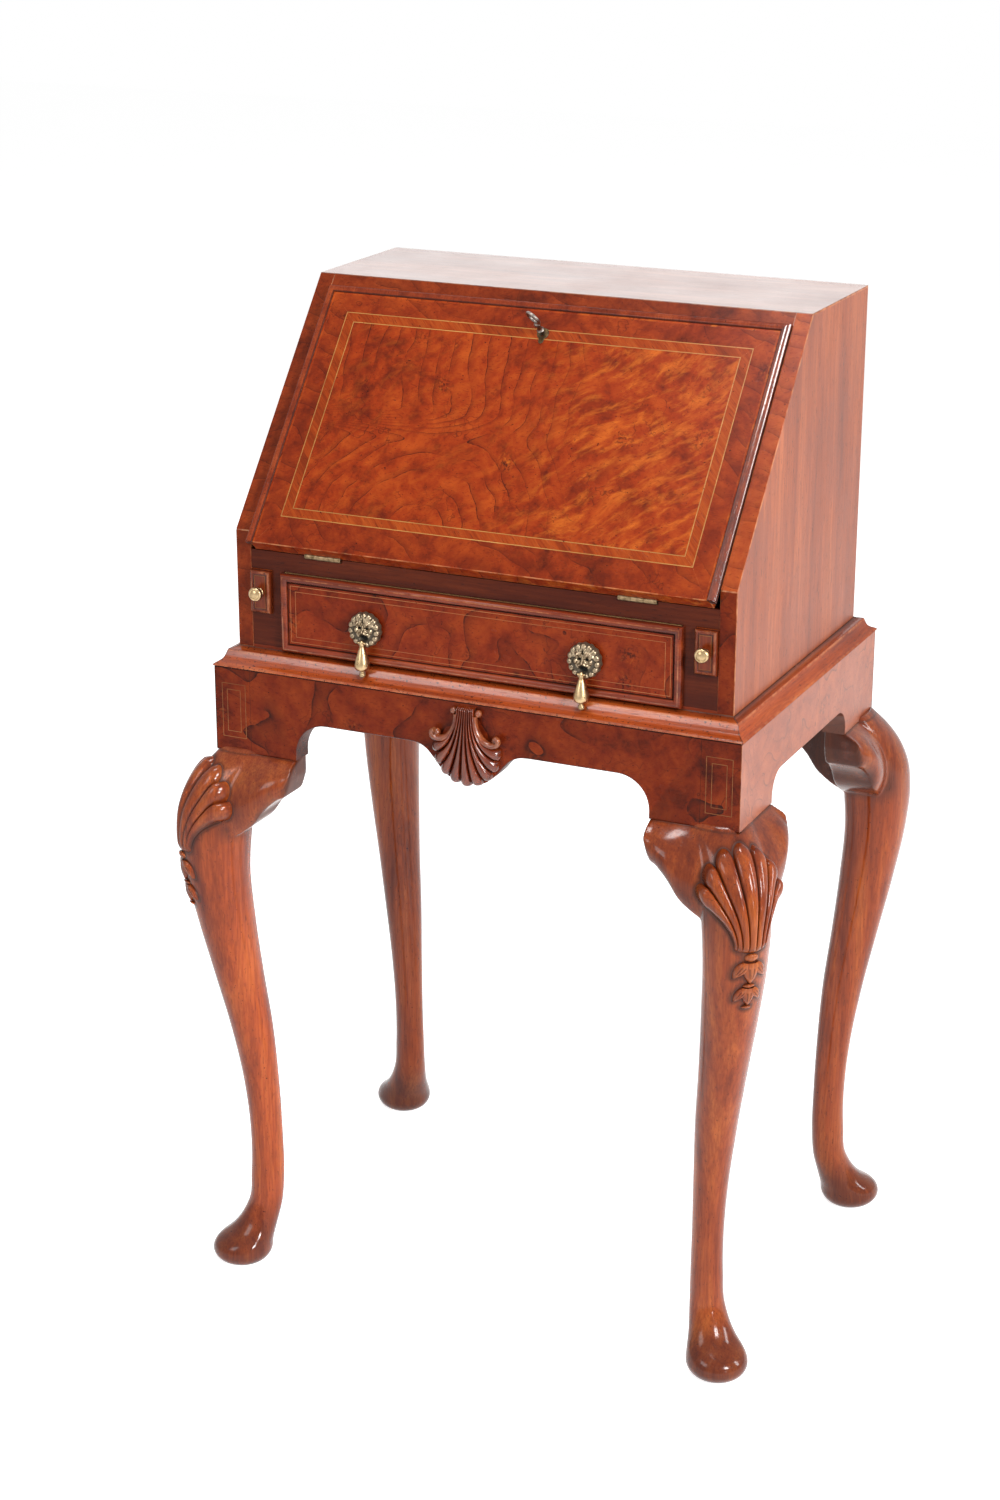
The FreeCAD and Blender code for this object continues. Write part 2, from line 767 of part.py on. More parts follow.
def bead_rounded(run):
    """Round the two long upper edges of a bead."""
    crest = slope_point(0, 0, fall_proud)
    crest_level = crest.z * slope_cos - crest.y * slope_sin
    long_edges = []
    for edge in run.Edges:
        levels = [vertex.Z * slope_cos - vertex.Y * slope_sin for vertex in edge.Vertexes]
        if min(levels) > crest_level - bead_rounding / 2 and edge.Length > bead_depth + bead_width:
            long_edges.append(edge)
    return run.makeFillet(bead_rounding, long_edges)


def fall():
    """Make the fall with bead, lock, bolt, key and keyhole plate."""
    panel = slope_block((-half_fall, half_fall), (fall_foot, fall_top), (fall_inner, fall_proud))
    inner = half_fall - bead_width
    bead_foot = fall_proud - bead_depth
    field = slope_block((-inner, inner), (fall_foot - overrun, fall_top - bead_width), (bead_foot, fall_proud))
    ring = slope_block((-half_fall, half_fall), (fall_foot, fall_top), (bead_foot, fall_proud)).cut(field)
    rooms = knuckle_rooms() + hinge_leaf_blanks("fall") + hinge_screws("fall")
    rooms += [lock_block(), bolt_room(key_up, fall_top + overrun)]
    rooms.append(key_hole(fall_inner, fall_proud + overrun))
    save("fall_panel", panel.cut(ring).cut(group(rooms)))
    save("fall_beads", group(bead_runs()))

    room_radius = key_radius + key_bit_length + key_room_gap
    room_foot = fall_inner + lock_wall
    room_head = fall_inner + lock_depth - lock_wall
    room = key_turning([(0, room_foot), (room_radius, room_foot), (room_radius, room_head), (0, room_head)])
    lock_rooms = group([room, bolt_room(key_up, fall_top), key_hole(room_foot, fall_proud)])
    save("lock_case", lock_block().cut(lock_rooms))

    bolt_foot = key_up + room_radius + bolt_gap
    half_bolt = bolt_width / 2
    deep = (bolt_middle() - bolt_thickness / 2, bolt_middle() + bolt_thickness / 2)
    save("lock_bolt", slope_block((-half_bolt, half_bolt), (bolt_foot, fall_top - bolt_end_gap), deep))
    save("key", key(room_foot))
    save("escutcheon", escutcheon())


def key(room_foot):
    """Make the key: shank, bit and ring bow."""
    bit_foot = room_foot + key_gap
    head = fall_proud + key_reach
    shank = key_turning([(0, bit_foot), (key_radius, bit_foot), (key_radius, head), (0, head)])
    half_bit = key_bit_thickness / 2
    bit_tip = key_up - key_radius - key_bit_length
    bit = slope_block((-half_bit, half_bit), (bit_tip, key_up), (bit_foot, bit_foot + key_bit_height))
    centre = slope_point(0, key_up, head + key_bow_radius)
    bow = Part.makeTorus(key_bow_radius, key_bow_wire_radius, centre, point(1, 0, 0))
    return shank.fuse([bit, bow])


def escutcheon():
    """Make the thin keyhole plate: a round head with a tail that runs down the slope."""
    head = fall_proud + escutcheon_thickness
    disc = key_turning([(0, fall_proud), (escutcheon_radius, fall_proud), (escutcheon_radius, head), (0, head)])
    half_tail = escutcheon_radius / 2
    tail_foot = key_up - escutcheon_radius - escutcheon_tail
    tail = slope_block((-half_tail, half_tail), (tail_foot, key_up), (fall_proud, head))
    return disc.fuse(tail).cut(key_hole(fall_proud - overrun, head + overrun))


# Long drawer with its masks and drops
def mask_places():
    """Name the two masks and give their places across the width."""
    return (("left", -mask_place), ("right", mask_place))


def drawer():
    """Make the drawer's boards and its handles."""
    lip = block((-lip_half_width, lip_half_width), (lip_face, lip_back), (lip_foot, lip_top))
    front_edges = [edge for edge in lip.Edges if max(vertex.Y for vertex in edge.Vertexes) < lip_back]
    lip = lip.makeFillet(lip_rounding, front_edges)
    half_box = half_opening - drawer_gap
    foot = bottom_top + drawer_foot_gap
    front_back = case_front + drawer_front_thickness
    body = block((-half_box, half_box), (lip_back, front_back), (foot, rail_underside - drawer_gap))
    bores = group([mask_bolt_hole(place) for _, place in mask_places()])
    save("drawer_front", lip.cut(bores))
    save("drawer_inner_front", body.cut(bores))

    box_back = back_inside - drawer_back_gap
    side_top = rail_underside - drawer_side_drop
    inner = half_box - drawer_board
    right = block((inner, half_box), (front_back, box_back), (foot, side_top))
    save("drawer_side_right", right)
    save("drawer_side_left", mirrored(right, True, False))
    save("drawer_back", block((-inner, inner), (box_back - drawer_board, box_back), (foot, side_top)))
    floor = foot + drawer_bottom_rise
    floor_span = (floor, floor + drawer_bottom_thickness)
    save("drawer_bottom", block((-inner, inner), (front_back, box_back - drawer_board), floor_span))
    save("mask_bolts", group([mask_bolt(place) for _, place in mask_places()]))
    for side_name, place in mask_places():
        save("mask_" + side_name, mask(place))
        save("drop_" + side_name, drop(place))


def mask_bolt_hole(place):
    """Make the bolt's bore through the drawer front."""
    base = point(place, lip_face - overrun, mask_height)
    return Part.makeCylinder(mask_bolt_radius, lip_proud + drawer_front_thickness * 2, base, point(0, 1, 0))


def mask_bolt(place):
    """Make the bolt that holds a mask, with its round nut inside the drawer."""
    back = case_front + drawer_front_thickness
    end = back + mask_nut_thickness
    profile = [(0, lip_face), (mask_bolt_radius, lip_face), (mask_bolt_radius, back), (mask_nut_radius, back)]
    profile += [(mask_nut_radius, end), (0, end)]
    return turned(profile, point(place, 0, mask_height), point(0, 1, 0))


def mask(place):
    """Make the body of a mask: rim, domed face, muzzle, and the pin across its mouth."""
    rim = [(0, 0), (mask_radius, 0), (mask_radius, mask_rim / 2), (mask_dome_radius, mask_rim)]
    crown = mask_rim + mask_dome_height
    shoulder = mask_rim + mask_dome_height / 2
    rim += [(mask_dome_radius, shoulder), (mask_dome_radius / 2, crown), (0, crown)]
    face = turned(rim, point(place, lip_face, mask_height), point(0, -1, 0))
    muzzle_centre = point(place, mouth_place + muzzle_radius / 2, mouth_height)
    ball = Part.makeSphere(muzzle_radius, muzzle_centre)
    behind = block(
        (place - muzzle_radius, place + muzzle_radius),
        (lip_face, lip_face + muzzle_radius + overrun),
        (mouth_height - muzzle_radius, mouth_height + muzzle_radius),
    )
    half_slot = drop_eye_width / 2 + mouth_slot_gap
    reach = drop_eye_radius + mouth_slot_gap
    slot = block(
        (place - half_slot, place + half_slot),
        (mouth_place - mask_radius, mouth_place + reach),
        (mouth_height - mask_radius, mouth_height + reach),
    )
    start = point(place - drop_pin_length / 2, mouth_place, mouth_height)
    pin = Part.makeCylinder(drop_pin_radius, drop_pin_length, start, point(1, 0, 0))
    return face.fuse(ball.cut(behind)).cut(slot).fuse(pin)


def drop(place):
    """Make the pear drop with its eye on the mask's pin."""
    profile = [(drop_radius * wide, drop_length * up) for wide, up in drop_outline_shares]
    pear = turned(profile, point(place, mouth_place, mouth_height), point(0, 0, 1))
    start = point(place - drop_eye_width / 2, mouth_place, mouth_height)
    eye = Part.makeCylinder(drop_eye_radius, drop_eye_width, start, point(1, 0, 0))
    bore_radius = drop_pin_radius + pin_running_gap
    bore_start = point(place - drop_eye_width, mouth_place, mouth_height)
    bore = Part.makeCylinder(bore_radius, drop_eye_width * 2, bore_start, point(1, 0, 0))
    return pear.fuse(eye).cut(bore)


# Lopers
def knob(base, radius, neck_radius, neck, reach):
    """Make a round knob that stands out to the front."""
    shoulder = neck + (reach - neck) / 2
    profile = [(0, 0), (neck_radius, 0), (neck_radius, neck), (radius, shoulder)]
    profile += [(radius / 2, reach), (0, reach)]
    return turned(profile, base, point(0, -1, 0))


def lopers():
    """Make the bars, their moulded faces and their knobs."""
    span = (partition_outer + loper_side_gap, half_inside - loper_side_gap)
    rise = (loper_foot, loper_top)
    bar = block(span, (case_front, back_inside - loper_back_gap), rise)
    face_front = case_front - loper_face_proud
    face = block(span, (face_front, case_front), rise)
    front_edges = [edge for edge in face.Edges if max(vertex.Y for vertex in edge.Vertexes) < case_front]
    face = face.makeChamfer(loper_face_chamfer, front_edges)
    base = point((span[0] + span[1]) / 2, face_front, (rise[0] + rise[1]) / 2)
    pull = knob(base, loper_knob_radius, loper_knob_neck_radius, loper_knob_neck, loper_knob_reach)
    for side_name, flip_x in (("left", True), ("right", False)):
        save("loper_" + side_name, mirrored(bar, flip_x, False))
        save("loper_face_" + side_name, mirrored(face, flip_x, False))
        save("loper_knob_" + side_name, mirrored(pull, flip_x, False))


# Pigeonhole gallery
def gallery():
    """Make shelves, dividers and the two small drawers."""
    depth = (gallery_front, back_inside)
    inside = (-half_inside, half_inside)
    shelves = [block(inside, depth, (foot, foot + gallery_board)) for foot in (lower_shelf, upper_shelf)]
    save("gallery_shelves", group(shelves))
    half_board = gallery_board / 2
    pitch = (half_inside + half_inside) / pigeonhole_count
    dividers = [block((-half_board, half_board), depth, (pivot_height, lower_shelf))]
    for index in range(1, pigeonhole_count):
        middle = -half_inside + pitch * index
        span = (middle - half_board, middle + half_board)
        dividers.append(block(span, depth, (lower_shelf + gallery_board, upper_shelf)))
    save("gallery_dividers", group(dividers))

    span = (half_board + small_drawer_gap, half_inside - small_drawer_gap)
    rise = (pivot_height + small_drawer_gap / 2, lower_shelf - small_drawer_gap)
    tray_back = back_inside - small_drawer_back_gap
    outside = block(span, (gallery_front, tray_back), rise)
    wall = small_drawer_wall
    hollow = block(
        (span[0] + wall, span[1] - wall),
        (gallery_front + small_drawer_front, tray_back - wall),
        (rise[0] + wall, rise[1] + overrun),
    )
    tray = outside.cut(hollow)
    base = point((span[0] + span[1]) / 2, gallery_front, (rise[0] + rise[1]) / 2)
    pull = knob(base, small_knob_radius, small_knob_neck_radius, small_knob_neck, small_knob_reach)
    for side_name, flip_x in (("left", True), ("right", False)):
        save("small_drawer_" + side_name, mirrored(tray, flip_x, False))
        save("small_knob_" + side_name, mirrored(pull, flip_x, False))


os.makedirs("parts", exist_ok=True)
stand()
case_boards()
case_inside()
hinges()
fall()
drawer()
lopers()
gallery()
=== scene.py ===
import logging
from dataclasses import dataclass, field, replace
from enum import Enum
from itertools import product
from math import atan2, copysign, cos, hypot, pi, radians, sin, sqrt
from typing import Callable, Optional, Sequence, Union

import bmesh
import bpy
import numpy as np
from mathutils import Matrix, Vector
from mathutils.bvhtree import BVHTree


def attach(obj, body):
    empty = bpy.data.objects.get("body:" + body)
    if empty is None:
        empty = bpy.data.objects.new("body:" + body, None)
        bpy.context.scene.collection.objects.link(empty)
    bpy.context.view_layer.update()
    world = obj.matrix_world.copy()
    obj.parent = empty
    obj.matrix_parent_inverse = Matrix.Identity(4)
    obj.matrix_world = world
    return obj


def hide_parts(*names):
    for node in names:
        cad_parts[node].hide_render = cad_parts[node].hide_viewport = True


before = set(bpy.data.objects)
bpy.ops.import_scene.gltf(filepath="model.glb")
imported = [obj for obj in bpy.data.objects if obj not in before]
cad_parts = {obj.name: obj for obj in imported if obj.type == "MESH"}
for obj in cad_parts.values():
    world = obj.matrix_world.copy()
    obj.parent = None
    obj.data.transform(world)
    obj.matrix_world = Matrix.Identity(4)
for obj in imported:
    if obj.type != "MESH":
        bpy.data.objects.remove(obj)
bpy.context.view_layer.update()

log = logging.getLogger("escritoire")

Triple = tuple[float, float, float]
Colour = Triple
Flat = tuple[float, float]
Mesh = bpy.types.Mesh
Socket = bpy.types.NodeSocket
Feed = Union[Socket, float, Sequence[float]]
Place = Callable[[float, float, float], Vector]
Cell = tuple[Vector, Vector, float]

SIDES = ((-1.0, "left"), (1.0, "right"))
FULL_TURN = 2.0 * pi
FORWARD = Vector((0.0, -1.0, 0.0))


# Bodies, slots and the sloped front

class Body(str, Enum):
    """The moving bodies that carry pieces of the scene."""

    FRAME = "frame"
    FALL = "fall"
    KEY = "key"
    DRAWER = "drawer"
    DROP_LEFT = "drop_left"
    DROP_RIGHT = "drop_right"
    LOPER_LEFT = "loper_left"
    LOPER_RIGHT = "loper_right"


class Slot(str, Enum):
    """The material slots of the record."""

    SOLID = "walnut_solid"
    VENEER = "walnut_veneer"
    BURR = "walnut_burr"
    PALE = "pale_wood"
    BRASS = "brass"
    AGED = "aged_brass"
    STEEL = "steel"


SLOPE_COS = 0.63743
SLOPE_SIN = 0.77052
SLOPE_FOOT = Vector((0.0, -0.17125, 0.7823))


def on_slope(x: float, up: float, out: float) -> Vector:
    """Give the point of the sloped front at x, up the slope and out from it."""
    return SLOPE_FOOT + Vector((x, up * SLOPE_COS - out * SLOPE_SIN, up * SLOPE_SIN + out * SLOPE_COS))


def on_face(middle: float, level: float) -> Place:
    """Give what puts along, up and out in space on an upright face at that depth, from its middle."""
    return lambda along, up, out: Vector((middle + along, level - out, up))


# Finishes

class Tree:
    """Node tree of a material or of the world, with short calls for the nodes that the finishes use."""

    mix_colours = (6, 7)
    mix_result = 2

    def __init__(self, owner: Union[bpy.types.Material, bpy.types.World]) -> None:
        """Empty the owner's node tree.

        Args:
            owner: the material or the world.
        """
        owner.use_nodes = True
        self.nodes = owner.node_tree.nodes
        self.links = owner.node_tree.links
        self.nodes.clear()

    def add(self, kind: str, options: dict, feeds: dict) -> bpy.types.Node:
        """Add a node.

        Args:
            kind: Blender's name of the node type.
            options: properties of the node.
            feeds: socket, number or colour for each input, by name or index.

        Returns:
            The new node.
        """
        node = self.nodes.new(kind)
        for key, value in options.items():
            setattr(node, key, value)
        for key, value in feeds.items():
            if isinstance(value, Socket):
                self.links.new(value, node.inputs[key])
            else:
                node.inputs[key].default_value = value
        return node

    def coords(self) -> Socket:
        """Give the object's own coordinates."""
        return self.add("ShaderNodeTexCoord", {}, {}).outputs["Object"]

    def depth(self, name: str) -> Socket:
        """Give a mesh attribute as a number, 0 where the mesh has none."""
        return self.add("ShaderNodeAttribute", {"attribute_name": name}, {}).outputs["Fac"]

    def seen(self) -> Socket:
        """Tell what is looked at from what gives light.

        Returns:
            1 on rays from the camera, in reflections and through glass, otherwise 0.
        """
        path = self.add("ShaderNodeLightPath", {}, {}).outputs
        value = path["Is Camera Ray"]
        for name in ("Is Glossy Ray", "Is Transmission Ray"):
            value = self.math("MAXIMUM", value, path[name])
        return value

    def turned(self, vector: Socket, rows: Sequence[Sequence[float]]) -> Socket:
        """Turn and stretch coordinates.

        Args:
            vector: the coordinates.
            rows: the three rows of the matrix that they go through.

        Returns:
            The new coordinates.
        """
        parts = {}
        for index, row in enumerate(rows):
            dot = self.add("ShaderNodeVectorMath", {"operation": "DOT_PRODUCT"}, {0: vector, 1: tuple(row)})
            parts[index] = dot.outputs["Value"]
        return self.add("ShaderNodeCombineXYZ", {}, parts).outputs[0]

    def drawn(self, vector: Socket, shares: Triple) -> Socket:
        """Draw coordinates out along their axes by these shares."""
        across, deep, up = shares
        return self.turned(vector, ((across, 0.0, 0.0), (0.0, deep, 0.0), (0.0, 0.0, up)))

    def axis(self, vector: Socket, index: int) -> Socket:
        """Give one axis of coordinates."""
        return self.add("ShaderNodeSeparateXYZ", {}, {0: vector}).outputs[index]

    def warped(self, vector: Socket, scale: float, amount: float) -> Socket:
        """Push coordinates about with a soft noise.

        Args:
            vector: the coordinates.
            scale: how many swells there are to a metre.
            amount: how far the push goes, in metres.

        Returns:
            The pushed coordinates.
        """
        feeds = {"Vector": vector, "Scale": scale, "Detail": 2.0}
        noise = self.add("ShaderNodeTexNoise", {}, feeds).outputs["Color"]
        centred = self.add("ShaderNodeVectorMath", {"operation": "SUBTRACT"}, {0: noise, 1: (0.5, 0.5, 0.5)})
        feeds = {0: centred.outputs[0], 1: (amount, amount, amount), 2: vector}
        return self.add("ShaderNodeVectorMath", {"operation": "MULTIPLY_ADD"}, feeds).outputs[0]

    def noise(self, vector: Socket, scale: float, detail: float = 3.0, rough: float = 0.5) -> Socket:
        """Give a noise of that many swells to a metre, with octaves of finer noise, from 0 to 1."""
        feeds = {"Vector": vector, "Scale": scale, "Detail": detail, "Roughness": rough}
        return self.add("ShaderNodeTexNoise", {}, feeds).outputs["Fac"]

    def math(self, operation: str, first: Feed, second: Feed = 0.0) -> Socket:
        """Give the outcome of one sum on two values."""
        return self.add("ShaderNodeMath", {"operation": operation}, {0: first, 1: second}).outputs[0]

    def times(self, first: Feed, second: Feed) -> Socket:
        """Multiply two values."""
        return self.math("MULTIPLY", first, second)

    def rest(self, value: Feed) -> Socket:
        """Give what a value lacks to 1."""
        return self.math("SUBTRACT", 1.0, value)

    def swing(self, value: Socket, amount: float) -> Socket:
        """Centre a noise on 0 and scale it."""
        return self.times(self.math("SUBTRACT", value, 0.5), amount)

    def between(self, value: Socket, low: float, high: float) -> Socket:
        """Run evenly from low to high while value goes from 0 to 1."""
        return self.add("ShaderNodeMapRange", {}, {"Value": value, "To Min": low, "To Max": high}).outputs[0]

    def smooth(self, value: Socket, low: float, high: float, top: float = 1.0) -> Socket:
        """Rise smoothly from 0 to top while value goes from low to high, which may lie below low."""
        feeds = {"Value": value, "From Min": low, "From Max": high, "To Max": top}
        return self.add("ShaderNodeMapRange", {"interpolation_type": "SMOOTHSTEP"}, feeds).outputs[0]

    def mix(self, factor: Feed, first: Feed, second: Feed) -> Socket:
        """Mix two colours.

        Args:
            factor: share of the second colour.
            first: the first colour.
            second: the second colour.

        Returns:
            The mixed colour.
        """
        feeds = {0: factor}
        for index, colour in zip(self.mix_colours, (first, second)):
            feeds[index] = colour if isinstance(colour, Socket) else (*colour, 1.0)
        return self.add("ShaderNodeMix", {"data_type": "RGBA"}, feeds).outputs[self.mix_result]

    def ramp(self, factor: Socket, stops: Sequence[tuple[float, Colour]]) -> Socket:
        """Run through colours.

        Args:
            factor: where on the ramp the colour is taken.
            stops: place and colour of each stop, in order.

        Returns:
            The colour.
        """
        node = self.add("ShaderNodeValToRGB", {}, {"Fac": factor})
        elements = node.color_ramp.elements
        while len(elements) < len(stops):
            elements.new(0.5)
        for element, (place, colour) in zip(elements, stops):
            element.position = place
            element.color = (*colour, 1.0)
        return node.outputs["Color"]

    def bump(self, height: Socket, strength: float, reach: float) -> Socket:
        """Give the surface normal over a height that is reach metres deep."""
        feeds = {"Height": height, "Strength": strength, "Distance": reach}
        return self.add("ShaderNodeBump", {}, feeds).outputs[0]

    def surface(self, feeds: dict) -> None:
        """Close the tree with a principled shader that takes these inputs."""
        shader = self.add("ShaderNodeBsdfPrincipled", {}, feeds)
        self.add("ShaderNodeOutputMaterial", {}, {"Surface": shader.outputs[0]})


@dataclass(frozen=True)
class Finish:
    """A finish, which makes its material once."""

    name: str

    def material(self) -> bpy.types.Material:
        """Give the material, made on the first call.

        Returns:
            The material.
        """
        found = bpy.data.materials.get(self.name)
        if found is None:
            found = bpy.data.materials.new(self.name)
            self.grow(Tree(found))
        return found

    def grow(self, tree: Tree) -> None:
        """Fill the node tree of the material."""
        raise NotImplementedError


@dataclass(frozen=True)
class Walnut(Finish):
    """Polished wood: what all the woods of the escritoire share."""

    deep: Colour = (0.1, 0.018, 0.006)
    mid: Colour = (0.3, 0.055, 0.018)
    light: Colour = (0.46, 0.105, 0.032)
    rows: tuple = ((1.0, 0.0, 0.0), (0.0, 1.0, 0.0), (0.0, 0.0, 1.0))
    gloss: float = 0.24
    gloss_swing: Flat = (-0.07, 0.09)
    gloss_clouds: float = 14.0
    specular: float = 0.2
    pitted: float = 0.735
    pit_edge: float = 0.025
    pit_share: float = 0.8
    pits: float = 420.0
    # Dark colour of pores, pits and figure lines, also used for painted shade.
    stain_and_shade: Colour = (0.016, 0.005, 0.003)
    shade_and_stain_most: float = 0.96
    shade_and_stain_rough: float = 0.6
    # Colour of worn wood, also used for painted highlights.
    worn_and_lit: Colour = (0.66, 0.27, 0.11)
    worn_and_lit_share: float = 0.6
    rubbing: float = 70.0
    pores: float = 900.0
    pore_bump: float = 0.35

    def polish(self, tree: Tree, colour: Socket, height: Socket, relief: float) -> None:
        """Lay stain, painted shade, wear, painted highlights and polish over the bare figure.

        Args:
            tree: the node tree.
            colour: colour of the bare wood.
            height: height of the pores, from 0 to 1.
            relief: depth of the pores in metres.
        """
        place = tree.coords()
        rub = tree.noise(place, self.rubbing, 4.0, 0.65)
        # Lighter tones: real wear on softened board edges, and painted highlights on beads, mouldings and
        # carved crests.
        wear = tree.times(tree.depth("wear"), tree.smooth(rub, 0.35, 0.65))
        colour = tree.mix(tree.times(wear, self.worn_and_lit_share), colour, self.worn_and_lit)
        # Painted shade: the recess tone darkens grooves, gaps and undersides toward the dark colour and
        # roughens them, partly real grime.
        grime_and_shade = tree.times(tree.depth("recess"), tree.smooth(rub, 0.05, 0.45))
        colour = tree.mix(tree.math("MINIMUM", grime_and_shade, self.shade_and_stain_most), colour, self.stain_and_shade)
        specks = tree.noise(place, self.pits, 1.0)
        specks = tree.smooth(specks, self.pitted, self.pitted + self.pit_edge, self.pit_share)
        colour = tree.mix(specks, colour, self.stain_and_shade)
        cloud = tree.noise(place, self.gloss_clouds, 4.0, 0.6)
        rough = tree.between(cloud, *(self.gloss + change for change in self.gloss_swing))
        rough = tree.math("MAXIMUM", rough, tree.smooth(grime_and_shade, 0.45, 1.0, self.shade_and_stain_rough))
        tree.surface({
            "Base Color": colour,
            "Roughness": rough,
            "Specular IOR Level": self.specular,
            "Normal": tree.bump(height, self.pore_bump, relief),
        })


@dataclass(frozen=True)
class StraightWood(Walnut):
    """Wood with straight grain, fine pores and slow bands of colour."""

    band: float = 38.0
    drawn: float = 0.06
    patches: float = 7.0
    patch_swing: float = 0.38
    fine_times: float = 9.0
    fine_share: float = 0.36
    pore_drawn: float = 0.11
    pore_depth: float = 0.00025
    pore_share: float = 0.5

    def grow(self, tree: Tree) -> None:
        """Fill the node tree of the material.

        Args:
            tree: the node tree.
        """
        bent = tree.warped(tree.turned(tree.coords(), self.rows), 5.0, 0.012)
        long = tree.drawn(bent, (1.0, 1.0, self.drawn))
        tone = tree.noise(long, self.band, 5.0, 0.62)
        tone = tree.math("ADD", tone, tree.swing(tree.noise(bent, self.patches, 2.0), self.patch_swing))
        colour = tree.ramp(tone, ((0.26, self.deep), (0.5, self.mid), (0.76, self.light)))
        fine = tree.noise(long, self.band * self.fine_times, 3.0, 0.6)
        colour = tree.mix(tree.smooth(fine, 0.62, 0.38, self.fine_share), colour, self.deep)
        pores = tree.noise(tree.drawn(bent, (1.0, 1.0, self.pore_drawn)), self.pores, 2.0)
        flecks = tree.smooth(pores, 0.61, 0.72, self.pore_share)
        colour = tree.mix(flecks, colour, self.stain_and_shade)
        self.polish(tree, colour, tree.rest(flecks), self.pore_depth)


@dataclass(frozen=True)
class FiguredVeneer(Walnut):
    """Veneer with thin wavy contour lines, arches, burr clusters and golden flames."""

    run: Triple = (0.0, 0.0, 0.0)
    swirl: float = 5.0
    figure: float = 8.0
    arch_centre: Optional[Flat] = None
    arch_gap: float = 0.017
    arch_end: Flat = (0.095, 0.13)
    mottle: float = 48.0
    clouds: float = 9.0
    blotch: float = 0.55
    line_wide: float = 0.055
    line_share: float = 0.6
    line_patches: float = 24.0
    line_breaks: float = 210.0
    shade_share: float = 0.4
    squiggles: float = 30.0
    squiggle_steps: float = 7.0
    squiggle_share: float = 0.6
    flame: Colour = (0.66, 0.2, 0.038)
    flame_share: float = 0.75
    flame_slant: tuple = ((0.64, 0.0, -0.77), (0.0, 1.0, 0.0), (0.22, 0.0, 0.19))
    flames: float = 105.0
    dusk_share: float = 0.3
    least_right: float = 0.25
    fade: Flat = (5.0, 6.0)
    burrs: float = 26.0
    burr_share: float = 0.8
    pore_drawn: float = 0.24
    pore_share: float = 0.45
    pore_depth: float = 0.00012

    def contours(self, tree: Tree, place: Socket, bent: Socket) -> Socket:
        """Give the field whose steps are the contour lines of the figure.

        Args:
            tree: the node tree.
            place: coordinates on the veneer.
            bent: the same, softly pushed about.

        Returns:
            The field, which rises by 1 from line to line.
        """
        along = tree.add("ShaderNodeVectorMath", {"operation": "DOT_PRODUCT"}, {0: bent, 1: self.run})
        swell = tree.times(tree.noise(bent, self.figure, 2.0, 0.45), self.swirl)
        waves = tree.math("ADD", along.outputs["Value"], swell)
        if self.arch_centre is None:
            return waves
        across, up = self.arch_centre
        flat = tree.drawn(bent, (1.0, 0.0, 1.0))
        gap = tree.add("ShaderNodeVectorMath", {"operation": "DISTANCE"}, {0: flat, 1: (across, 0.0, up)})
        rings = tree.times(gap.outputs["Value"], 1.0 / self.arch_gap)
        upper = tree.smooth(tree.axis(place, 2), up + self.arch_end[0], up + self.arch_end[1])
        lifted = tree.times(tree.math("SUBTRACT", waves, rings), upper)
        return tree.math("ADD", rings, lifted)

    def grow(self, tree: Tree) -> None:
        """Fill the node tree of the material.

        Args:
            tree: the node tree.
        """
        place = tree.turned(tree.coords(), self.rows)
        left = tree.smooth(tree.axis(place, 0), self.fade[1], self.fade[0])
        bent = tree.warped(tree.warped(place, 11.0, 0.03), 42.0, 0.007)

        # mottled ground
        cloud = tree.noise(bent, self.clouds, 3.0, 0.55)
        tone = tree.math("ADD", tree.noise(bent, self.mottle, 7.0, 0.68), tree.swing(cloud, self.blotch))
        colour = tree.ramp(tone, ((0.28, self.deep), (0.48, self.mid), (0.72, self.light)))

        # golden flames and the dusk between them, mostly on the right
        slant = tree.turned(bent, self.flame_slant)
        lit = tree.smooth(tree.noise(slant, self.flames, 6.0, 0.66), 0.44, 0.72, self.flame_share)
        right = tree.math("ADD", tree.times(tree.rest(left), 1.0 - self.least_right), self.least_right)
        colour = tree.mix(tree.times(lit, right), colour, self.flame)
        dusk = tree.smooth(tree.noise(slant, self.mottle, 5.0, 0.64), 0.52, 0.72, self.dusk_share)
        colour = tree.mix(tree.times(dusk, right), colour, self.deep)

        # contour lines, shaded on one side, on the left
        step = tree.math("FRACT", self.contours(tree, place, bent))
        strength = tree.times(tree.smooth(tree.noise(bent, self.line_patches, 2.0), 0.34, 0.58), left)
        shade = tree.times(tree.smooth(step, 0.5, 0.0, self.shade_share), strength)
        colour = tree.mix(shade, colour, self.deep)
        line = tree.times(tree.smooth(step, self.line_wide, 0.0), strength)
        broken = tree.smooth(tree.noise(bent, self.line_breaks, 2.0), 0.3, 0.55)
        colour = tree.mix(tree.times(tree.times(line, broken), self.line_share), colour, self.stain_and_shade)

        # finer squiggles
        squiggle = tree.times(tree.noise(bent, self.squiggles, 3.0, 0.5), self.squiggle_steps)
        rare = tree.smooth(tree.noise(place, 16.0, 2.0), 0.5, 0.62)
        thin = tree.times(tree.smooth(tree.math("FRACT", squiggle), 0.1, 0.0), rare)
        colour = tree.mix(tree.times(thin, self.squiggle_share), colour, self.stain_and_shade)

